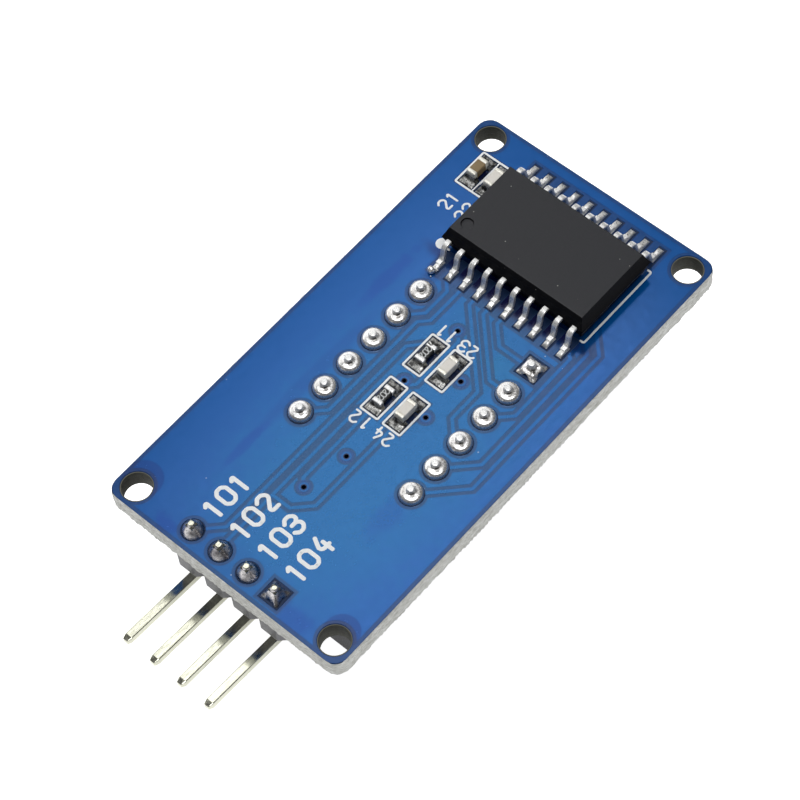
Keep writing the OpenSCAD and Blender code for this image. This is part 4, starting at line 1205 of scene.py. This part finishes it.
@dataclass
class HeaderLook:
    """The pin header below the board: notched housing and four formed pins."""

    frame: dict
    palette: Palette
    levels: Levels
    pin_width: float = 0.64
    pin_radius: float = 0.07
    bend: float = 0.5
    reach: float = 7.65
    drop: float = 4.0
    tilt: float = 3.9
    top: float = 9.79
    tip: float = 0.35
    tip_share: float = 0.67
    x: float = -17.75
    pins_y: tuple[float, ...] = (4.56, 2.02, -0.52, -3.06)

    def housing(self) -> bpy.types.Object:
        """The housing with its edges rounded."""
        piece = softened_copy(self.frame, "header_housing", "header_housing_moulded", 0.05)
        return dress(piece, self.palette.header)

    def pin(self, number: int, y: float) -> bpy.types.Object:
        """One pin: a rounded square carried down its leg, round the bend and out, z = level + d tan(tilt), to its tapered tip.

        Args:
            number: The pin's number.
            y: Its y.

        Returns:
            The piece.
        """
        level = self.levels.core_low - self.drop
        out = self.reach - np.array([self.tip, 0.02, 0.0])
        taper = np.stack([-out, level + out * math.tan(math.radians(self.tilt))], 1)
        bend = eased_path([(0, self.top), (0, level), taper[0]], self.bend, 10)
        hold = bend[-2] + (taper[0] - bend[-2]) * 0.99
        path = np.concatenate([[[0, self.top - 0.01], [0, self.top - 0.16], [0, self.top - 0.2]], bend[1:-1], hold[None], taper])
        half = self.tip_share
        scale = np.concatenate([[0.55, 1.0], np.ones(len(bend)), [1.0, half + 0.03, half - 0.05]])
        loop = rounded_loop(self.pin_width, self.pin_width, self.pin_radius)
        shell = Shell()
        shell.add(placed(upright(swept(path, loop, scale)), self.x, y))
        piece = shell.build(f"header_pin_formed_{number}", 32)
        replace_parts(piece, f"header_pin_{number}")
        return dress(piece, self.palette.pin_tin)

    def build(self) -> list[bpy.types.Object]:
        """Makes the housing and the pins."""
        return [self.housing()] + [self.pin(i, y) for i, y in enumerate(self.pins_y, 1)]


@dataclass
class ChipLook:
    """The driver chip: moulded body, formed leads and the solder at their feet."""

    frame: dict
    palette: Palette
    levels: Levels
    centre: tuple[float, float] = (13.9, -0.08)
    lands: tuple[float, float] = (14.02, -0.18)
    length: float = 12.8
    width: float = 7.5
    height: float = 2.3
    low: float = 8.96
    draft: float = 0.36
    bevel_width: float = 0.1
    bevel_height: float = 0.35
    dimple: float = 0.45
    dimple_depth: float = 0.12
    rounding: float = 0.05
    pitch: float = 1.27
    per_side: int = 10
    lead_width: float = 0.41
    lead_thick: float = 0.25
    lead_level: float = 0.56
    span: float = 10.25
    foot: float = 0.55
    root: float = 0.7
    knee: float = 0.56
    bend: float = 0.4
    solder: float = 0.04
    pad_width: float = 0.6
    toe_run: float = 0.5
    far_toe_run: float = 0.72

    def body(self) -> bpy.types.Object:
        """The body: a top of height z(x) = softmin(top, bevel line), less the dimple and an edge rounding, then sides
        in rings.

        Faces whose normal is less than 0.8 upward take a darker, less glossy copy of the moulding: painted shade on the
        sides and the bevel.

        Returns:
            The piece.
        """
        half_x, half_y = self.width / 2, self.length / 2
        top, middle = self.low + self.height, self.low + self.height * self.lead_level
        slope = self.draft / (top - middle)
        x_start = -half_x + slope * (top - self.bevel_height - middle)
        x_bevel = -half_x + self.draft + self.bevel_width
        x_end = half_x - self.draft
        ease = np.array([0, 0.004, 0.012, 0.025, 0.04, self.rounding])
        dimple_x, dimple_y = -half_x + 1.48, half_y - 1.15
        span = np.linspace(-self.dimple - 0.04, self.dimple + 0.04, 41)
        u = np.unique(np.concatenate([x_start + ease, np.linspace(x_start, x_bevel, 9), x_bevel + np.linspace(-0.06, 0.06, 7),
                                      dimple_x + span, np.linspace(x_bevel + 0.1, x_end - 0.1, 14), x_end - ease]))
        edge = half_y - self.draft
        v = np.unique(np.concatenate([-edge + ease, edge - ease, np.linspace(-edge + 0.1, edge - 0.1, 26), dimple_y + span])) / edge
        x, w = np.meshgrid(u, v, indexing="ij")
        line = top - self.bevel_height * (x_bevel - x) / (x_bevel - x_start)
        gap = top - line
        z = top - 0.5 * (gap + np.sqrt(gap ** 2 + 0.0006)) + 0.0
        reach_y = half_y - slope * (z - middle)
        y = w * reach_y
        inset = np.minimum(np.minimum(x - x_start, x_end - x), reach_y - np.abs(y))
        r = self.rounding
        near = np.clip(r - inset, 0, r)
        z = z - (r - np.sqrt(r ** 2 - near ** 2))
        centre_off = np.hypot(x - dimple_x, y - dimple_y) / self.dimple
        z = z - self.dimple_depth * np.clip((1.04 - centre_off) / 0.08, 0, 1) ** 0.7
        grid = np.stack([x, y, z], -1)
        border = np.concatenate([grid[:, 0], grid[-1, 1:], grid[-2::-1, -1], grid[0, -2:0:-1]])
        flat = np.stack([2 * (border[:, 0] - x_start) / (x_end - x_start) - 1, border[:, 1]], 1)
        flat[:, 1] = flat[:, 1] / (half_y - slope * (border[:, 2] + 0 - middle))
        flat = np.where(np.abs(flat) > 0.985, np.sign(flat), flat)
        rings = [border[None]]
        for height, draw in ((middle + 0.04, 0.0), (middle + 0.02, -0.02), (middle - 0.02, -0.02), (middle - 0.04, 0.0),
                             (self.low + 0.06, self.draft * 0.95), (self.low, self.draft + 0.05)):
            ring = np.stack([flat[:, 0] * (half_x - draw), flat[:, 1] * (half_y - draw), np.full(len(flat), height)], 1)
            rings.append(ring[None])
        sides = np.concatenate(rings)
        shell = Shell()
        rows, cols = grid.shape[:2]
        index = np.arange(rows * cols).reshape(rows, cols)
        quads = np.stack([index[:-1, :-1], index[1:, :-1], index[1:, 1:], index[:-1, 1:]], -1).reshape(-1, 4)
        shell.places.append(placed(grid, *self.centre).reshape(-1, 3))
        shell.faces += quads.tolist()
        shell.count = rows * cols
        wall = placed(sides, *self.centre)
        index = shell.count + np.arange(wall.shape[0] * wall.shape[1]).reshape(wall.shape[:2])
        low, high = index[:-1], index[1:]
        shell.faces += np.stack([low, np.roll(low, -1, 1), np.roll(high, -1, 1), high], -1).reshape(-1, 4).tolist()
        shell.faces.append(index[-1].tolist())
        shell.places.append(wall.reshape(-1, 3))
        shell.count += wall.shape[0] * wall.shape[1]
        piece = shell.build("chip_body_moulded", 25)
        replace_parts(piece, "chip_body")
        # The sides and bevel get the darker copy of the moulding, as painted shade.
        dress(piece, self.palette.chip).data.materials.append(self.palette.chip_side_painted_shade)
        up = np.empty(len(piece.data.polygons) * 3)
        piece.data.polygons.foreach_get("normal", up)
        piece.data.polygons.foreach_set("material_index", (up[2::3] < 0.8).astype(np.int32))
        return piece

    def lead_y(self, row: int) -> float:
        """The y of a row of leads, counted from 0 at the first lead."""
        return self.centre[1] + ((self.per_side - 1) / 2 - row) * self.pitch

    def lead(self, number: int, side: Side, row: int) -> bpy.types.Object:
        """One gull wing lead: a rounded strip carried out of the body, down and out along the pad.

        Args:
            number: The lead's number.
            side: Which side it is on.
            row: Its row from 0.

        Returns:
            The piece.
        """
        foot_z = self.levels.pad + self.solder
        lead_z = self.low + self.height * self.lead_level
        rng = np.random.default_rng(300 + number)
        lean = rng.uniform(-0.02, 0.02)
        corners = [(self.width / 2 - self.root, lead_z), (self.width / 2 + self.knee + lean, lead_z),
                   (self.span / 2 - self.foot + lean, foot_z + self.lead_thick / 2), (self.span / 2, foot_z + self.lead_thick / 2)]
        path, scale = rounded_ends(eased_path(corners, self.bend, 10), 0.04, self.lead_thick / 2)
        loop = rounded_loop(self.lead_thick, self.lead_width, 0.05)
        shell = Shell()
        shell.add(placed(upright(swept(path, loop, scale), side.value), self.centre[0], self.lead_y(row)))
        piece = shell.build(f"chip_lead_formed_{number}", 50)
        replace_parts(piece, f"chip_lead_{number}")
        return dress(piece, self.palette.tin)

    def fillets(self) -> bpy.types.Object:
        """The solder: h = edge max(film + climb exp(-d / spread), toe sqrt(1 - s^2)), d from the foot and s past its toe.

        The pads lie a little to one side of the leads, so each foot is off the middle of its pad.

        Returns:
            The piece.
        """
        shell = Shell()
        shift = self.centre[1] - self.lands[1]
        for number in range(1, 2 * self.per_side + 1):
            side = Side.LEFT if number <= self.per_side else Side.RIGHT
            row = number - 1 if side is Side.LEFT else 2 * self.per_side - number
            toe = self.span / 2 + side.value * (self.centre[0] - self.lands[0])
            run = self.toe_run if side is Side.LEFT else self.far_toe_run
            u = np.linspace(-1, 1, 46)[:, None]
            v = np.sin(np.linspace(-np.pi / 2, np.pi / 2, 21))[None]
            along = toe + (run - self.foot) / 2 + u * (run + self.foot) / 2
            low, high = shift - self.lead_width / 2 - 0.07, self.pad_width / 2 - 0.01
            across = (low + high) / 2 + v * (high - low) / 2
            off_x = np.maximum(np.maximum(toe - self.foot - along, along - toe), 0)
            off_y = np.maximum(np.abs(across - shift) - self.lead_width / 2, 0)
            distance = np.hypot(off_x, off_y)
            edge = np.clip(1 - np.abs(u) ** 14, 0, 1) ** 0.5 * np.clip(1 - np.abs(v) ** 8, 0, 1) ** 0.5
            past = np.maximum(along - toe, 0) / run
            beside = np.abs(across - shift * 0.6) / (self.lead_width / 2 + 0.06)
            wedge = np.where(along > toe - 0.12, 0.24, 0.0) * np.sqrt(np.clip(1 - past ** 2, 0, 1) * np.clip(1 - beside ** 4, 0, 1))
            lumps = 1 + 0.10 * ripple(along * 3 + number, across * 4, 400 + number, 8, 2.4)
            rise = edge * np.maximum(0.045 + 0.10 * np.exp(-distance / 0.07), wedge) * lumps
            out = along * side.value + 0 * v
            high = np.stack([out, across + 0 * u, self.levels.pad + np.maximum(rise, 0)], -1)
            base = np.stack([out[:, ::-1], (across + 0 * u)[:, ::-1], self.levels.pad - 0.004 + 0 * rise], -1)
            grid = np.concatenate([high, base], 1)
            shell.add(placed(grid, self.lands[0], self.lead_y(row) - shift))
        piece = shell.build("chip_lead_fillets", 60)
        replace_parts(piece, "chip_solder")
        return dress(piece, self.palette.toe_solder)

    def build(self) -> list[bpy.types.Object]:
        """Makes the body, the leads and their solder, and dresses what is inside.

        Returns:
            The pieces.
        """
        made = [self.body()]
        for number in range(1, 2 * self.per_side + 1):
            left = number <= self.per_side
            row = number - 1 if left else 2 * self.per_side - number
            made.append(self.lead(number, Side.LEFT if left else Side.RIGHT, row))
        made.append(self.fillets())
        dress(self.frame["nodes"]["chip_die"], self.palette.die)
        dress(self.frame["nodes"]["chip_die_pad"], self.palette.tin)
        return made


@dataclass
class SmallPartsLook:
    """Two resistors and four capacitors: bodies, metal ends, solder, and the numbers on the resistors."""

    palette: Palette
    levels: Levels
    ink: InkLook
    length: float = 1.6
    width: float = 0.8
    resistor_height: float = 0.45
    capacitor_height: float = 0.8
    end_length: float = 0.36
    lift: float = 0.04
    pad_pitch: float = 1.95
    pad_length: float = 1.0
    pad_width: float = 1.28

    def block(self, shell: Shell, x: float, y: float, start: float, stop: float, width: float, height: float, low: float,
              radius: float) -> None:
        """Adds a rounded block along x: a rounded rectangle with eased ends.

        Args:
            shell: Gathers the block.
            x: Middle of the part.
            y: Middle of the part.
            start: Where the block starts, from that middle.
            stop: Where it stops.
            width: Its width.
            height: Its height.
            low: Height of its underside.
            radius: Rounding of its edges.
        """
        path, scale = rounded_ends(np.array([[start, 0.0], [(start + stop) / 2, 0.0], [stop, 0.0]]), radius, width / 2)
        shrink = 1 - (1 - scale) * width / height
        loop = rounded_loop(height, width, radius)
        grid = swept(path, loop, np.stack([shrink, scale], 1))
        shell.add(placed(upright(grid), x, y, low + height / 2))

    def part(self, label: str, index: int, x: float, y: float, height: float, finish: bpy.types.Material,
             ends: Shell) -> bpy.types.Object:
        """Makes one part's body and gathers its ends.

        Args:
            label: "resistor" or "capacitor".
            index: Its number.
            x: Its middle.
            y: Its middle.
            height: Its height.
            finish: The body's finish.
            ends: Gathers the metal ends.

        Returns:
            The body.
        """
        low, body = self.levels.pad + self.lift, Shell()
        radius = 0.05 if label == "resistor" else 0.08
        self.block(body, x, y, -self.length / 2 + 0.04, self.length / 2 - 0.04, self.width - 0.05, height - 0.05, low + 0.025, radius)
        for side in (-1, 1):
            edges = sorted((side * self.length / 2, side * (self.length / 2 - self.end_length)))
            self.block(ends, x, y, *edges, self.width, height, low, radius + 0.01)
        piece = body.build(f"{label}_{index}_body_glazed", 50)
        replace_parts(piece, f"{label}_{index}_body")
        return dress(piece, finish)

    def fillets(self) -> bpy.types.Object:
        """The solder: h = edge (film + climb exp(-d / spread)), where d is the distance from the part's end.

        Returns:
            The piece.
        """
        shell = Shell()
        parts = [(p, self.resistor_height) for p in self.ink.resistors] + [(p, self.capacitor_height) for p in self.ink.capacitors]
        for k, ((x, y), height) in enumerate(parts):
            for side in (-1, 1):
                u = np.linspace(-1, 1, 30)[:, None]
                v = np.sin(np.linspace(-np.pi / 2, np.pi / 2, 25))[None]
                along = self.pad_pitch / 2 + u * (self.pad_length / 2 - 0.02)
                across = v * (self.pad_width / 2 - 0.02)
                off_x = np.maximum(along - self.length / 2, 0)
                off_y = np.maximum(np.abs(across) - self.width / 2, 0)
                distance = np.hypot(off_x, off_y)
                edge = np.clip(1 - np.abs(u) ** 12, 0, 1) ** 0.5 * np.clip(1 - np.abs(v) ** 10, 0, 1) ** 0.5
                lumps = 1 + 0.15 * ripple(along * 2.4 + k, across * 2.4 + side, 500 + 2 * k + side, 9, 2.6)
                rise = edge * (0.055 + min(0.75 * height, 0.36) * np.exp(-distance / 0.11)) * lumps
                out = along * side + 0 * v
                high = np.stack([out, across + 0 * u, self.levels.pad + np.maximum(rise, 0)], -1)
                base = np.stack([out[:, ::-1], (across + 0 * u)[:, ::-1], self.levels.pad - 0.004 + 0 * rise], -1)
                shell.add(placed(np.concatenate([high, base], 1), x, y))
        piece = shell.build("small_part_fillets", 60)
        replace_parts(piece, "small_part_solder")
        return dress(piece, self.palette.rough_solder)

    def numbers(self) -> bpy.types.Object:
        """The white numbers on the resistors' glaze."""
        shell = Shell()
        top = self.levels.pad + self.lift + self.resistor_height - 0.026
        height = 0.46
        advance = 0.31
        for x, y in self.ink.resistors:
            for k, digit in enumerate((2, 0, 2)):
                self.ink.number(shell, [digit], x + (1 - k) * advance + 0.13, y + height / 2, height * 0.98, 0.07, 2, top, 0.006)
        piece = shell.build("resistor_numbers", 60)
        return dress(piece, self.palette.small_ink)

    def build(self) -> list[bpy.types.Object]:
        """Makes every small part.

        Returns:
            The pieces.
        """
        made = []
        for i, (x, y) in enumerate(self.ink.resistors, 1):
            ends = Shell()
            made.append(self.part("resistor", i, x, y, self.resistor_height, self.palette.glaze, ends))
            piece = ends.build(f"resistor_{i}_ends_tinned", 50)
            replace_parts(piece, f"resistor_{i}_ends")
            made.append(dress(piece, self.palette.tin))
        ends = Shell()
        for i, (x, y) in enumerate(self.ink.capacitors, 1):
            finish, slot = (self.palette.brown, "capacitor_brown") if i == 1 else (self.palette.cream, "capacitor_cream")
            made.append(self.part("capacitor", i, x, y, self.capacitor_height, finish, ends))
        piece = ends.build("capacitor_ends_tinned", 50)
        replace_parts(piece, "capacitor_ends")
        made.append(dress(piece, self.palette.warm_tin))
        return made + [self.fillets(), self.numbers()]


@dataclass
class SolderBalls:
    """Small stray balls of solder on the mask near the first lead."""

    palette: Palette
    levels: Levels
    places: tuple[tuple[float, float, float], ...] = ((8.07, 5.64, 0.29), (8.45, 5.33, 0.06), (7.74, 5.38, 0.06), (6.72, 5.95, 0.05))

    def build(self) -> bpy.types.Object:
        """Makes the balls: r (cos a cos b, sin a cos b, sin b), sunk a little into the mask.

        Returns:
            The piece.
        """
        shell = Shell()
        turn = np.linspace(0, 2 * np.pi, 28, endpoint=False)[None]
        rise = np.linspace(-np.pi / 2 + 0.1, np.pi / 2 - 0.1, 15)[:, None]
        for k, (x, y, radius) in enumerate(self.places):
            uneven = radius * (1 + 0.03 * ripple(np.cos(turn) + 0 * rise, rise + 0 * turn, 700 + k, 6, 2.0))
            grid = np.stack([uneven * np.cos(turn) * np.cos(rise), uneven * np.sin(turn) * np.cos(rise), uneven * np.sin(rise)], -1)
            shell.add(placed(grid, x, y, self.levels.print_base + radius * 0.85))
        piece = shell.build("solder_balls")
        return dress(piece, self.palette.solder)


@dataclass
class DisplayLook:
    """The display below the board: shell, face film, light bars, dots, dies, inner board and resin."""

    frame: dict
    palette: Palette

    def dress_solids(self) -> None:
        """Dresses the display's solids."""
        nodes, p = self.frame["nodes"], self.palette
        finishes = {"display_shell": p.case, "display_face_film": p.film, "colon_dots": p.light,
                    "display_inner_board": p.inner_laminate, "led_dies": p.die, "display_resin": p.resin}
        finishes.update({f"digit_{i}_segments": p.light for i in range(1, 5)})
        for name, finish in finishes.items():
            dress(nodes[name], finish)


@dataclass
class Studio:
    """Floor, lights and camera."""

    camera_place: tuple[float, float, float] = (-0.0673059, -0.0713405, 0.1720965)
    focal: float = 2758.2
    floor_glow: float = 0.55
    frame_side: int = 800
    turn: tuple[Color, Color, Color] = (
        (0.6578825, -0.7504318, -0.0635831),
        (-0.6682764, -0.5427536, -0.5087486),
        (0.3472712, 0.3771879, -0.8585639),
    )

    def floor(self) -> bpy.types.Object:
        """The pale floor, a hair below the display's face, lit from below most strongly under the module.

        Returns:
            The floor.
        """
        half = 3.0
        mesh = bpy.data.meshes.new("floor")
        mesh.from_pydata([(-half, -half, -2e-5), (half, -half, -2e-5), (half, half, -2e-5), (-half, half, -2e-5)], [], [(0, 1, 2, 3)])
        floor = bpy.data.objects.new("floor", mesh)
        bpy.context.scene.collection.objects.link(floor)
        material, g, shader = new_surface("floor_paper")
        noise = g.add("TexNoise", {"Vector": g.add("TexCoord").outputs["Object"], "Scale": 40.0, "Detail": 2.0}).outputs[0]
        g.tree.links.new(g.mix(noise, (0.93, 0.93, 0.93), (0.95, 0.95, 0.95)), shader.inputs["Base Color"])
        shader.inputs["Roughness"].default_value = 0.9
        shader.inputs["Specular IOR Level"].default_value = 0.2
        reach = g.add("VectorMath", {0: g.add("TexCoord").outputs["Object"]}, operation="LENGTH").outputs["Value"]
        seen = g.add("LightPath").outputs["Is Camera Ray"]
        glow = g.maths("MAXIMUM", seen, g.between(reach, 0.10, 0.45, self.floor_glow, self.floor_glow * 0.1))
        g.tree.links.new(g.add("CombineColor", {0: glow, 1: glow, 2: glow}).outputs[0], shader.inputs["Emission Color"])
        shader.inputs["Emission Strength"].default_value = 1.0
        dress(floor, material)
        return floor

    def camera(self) -> bpy.types.Object:
        """The camera where the photo was taken from.

        Returns:
            The camera.
        """
        data = bpy.data.cameras.new("camera")
        data.sensor_width = 36.0
        data.lens = self.focal / self.frame_side * 36.0
        data.clip_start, data.clip_end = 0.01, 20.0
        camera = bpy.data.objects.new("camera", data)
        bpy.context.scene.collection.objects.link(camera)
        axes = np.array(self.turn).T @ np.diag([1.0, -1.0, -1.0])
        camera.matrix_world = Matrix.Translation(self.camera_place) @ Matrix(axes.tolist()).to_4x4()
        bpy.context.scene.camera = camera
        return camera

    def lamp(self, name: str, place: Color, aim: Color, size: tuple[float, float], power: float, color: Color) -> None:
        """Adds one soft rectangular light.

        Args:
            name: Its name.
            place: Where it is, in metres.
            aim: The point that it faces.
            size: Its two sides, in metres.
            power: Its power in watts.
            color: Its colour.
        """
        data = bpy.data.lights.new(name, "AREA")
        data.shape = "RECTANGLE"
        data.size, data.size_y = size
        data.energy, data.color = power, color
        lamp = bpy.data.objects.new(name, data)
        bpy.context.scene.collection.objects.link(lamp)
        way = Matrix.Translation(place).to_translation() - Matrix.Translation(aim).to_translation()
        lamp.rotation_mode = "QUATERNION"
        lamp.rotation_quaternion = way.to_track_quat("Z", "Y")
        lamp.location = place
        lamp.visible_camera = False

    def world(self, strength: float) -> None:
        """Sets the even light from all round, which itself is seen as white.

        Args:
            strength: Its strength.
        """
        world = bpy.data.worlds.new("studio")
        world.use_nodes = True
        graph = Graph(world.node_tree)
        seen = graph.maths("MAXIMUM", graph.add("LightPath").outputs["Is Camera Ray"], strength)
        glow = graph.add("Background", {"Color": (1.0, 1.0, 1.0, 1.0), "Strength": seen})
        graph.add("OutputWorld", {"Surface": glow.outputs[0]})
        bpy.context.scene.world = world

    def build(self) -> None:
        """Makes the floor, camera and lights, and keeps colours plain."""
        self.floor()
        self.camera()
        self.world(0.10)
        self.lamp("overhead", (-0.01, -0.04, 0.5), (-0.01, -0.04, 0.0), (0.24, 0.34), 1.4, (1.0, 1.0, 1.0))
        self.lamp("window", (0.190, 0.203, 0.5), (0.190, 0.203, 0.0), (0.155, 0.095), 0.095, (1.0, 1.0, 1.0))
        self.lamp("wall", (0.10, 0.42, 0.33), (0.0, 0.0, 0.02), (0.80, 0.34), 1.1, (1.0, 1.0, 1.0))
        scene = bpy.context.scene
        scene.view_settings.view_transform = "Standard"
        scene.view_settings.look = "None"


def main() -> None:
    """Builds the module's looks and the studio."""
    logging.basicConfig(level=logging.INFO, format="%(name)s: %(message)s")
    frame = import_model()
    palette, levels = Palette(), Levels()
    board = BoardLook(frame, palette, levels)
    board.dress_solids()
    ink = InkLook(palette, levels)
    joints = ThroughJoints(palette, levels)
    pieces = [board.edge_fibres(), ink.build(), *joints.build_display(), joints.build_header()]
    pieces += HeaderLook(frame, palette, levels).build()
    pieces += ChipLook(frame, palette, levels).build()
    pieces += SmallPartsLook(palette, levels, ink).build()
    pieces.append(SolderBalls(palette, levels).build())
    DisplayLook(frame, palette).dress_solids()
    for piece in pieces:
        log.info("%s: %d faces", piece.name, len(piece.data.polygons))
    Studio().build()


if __name__ == "__main__":
    main()
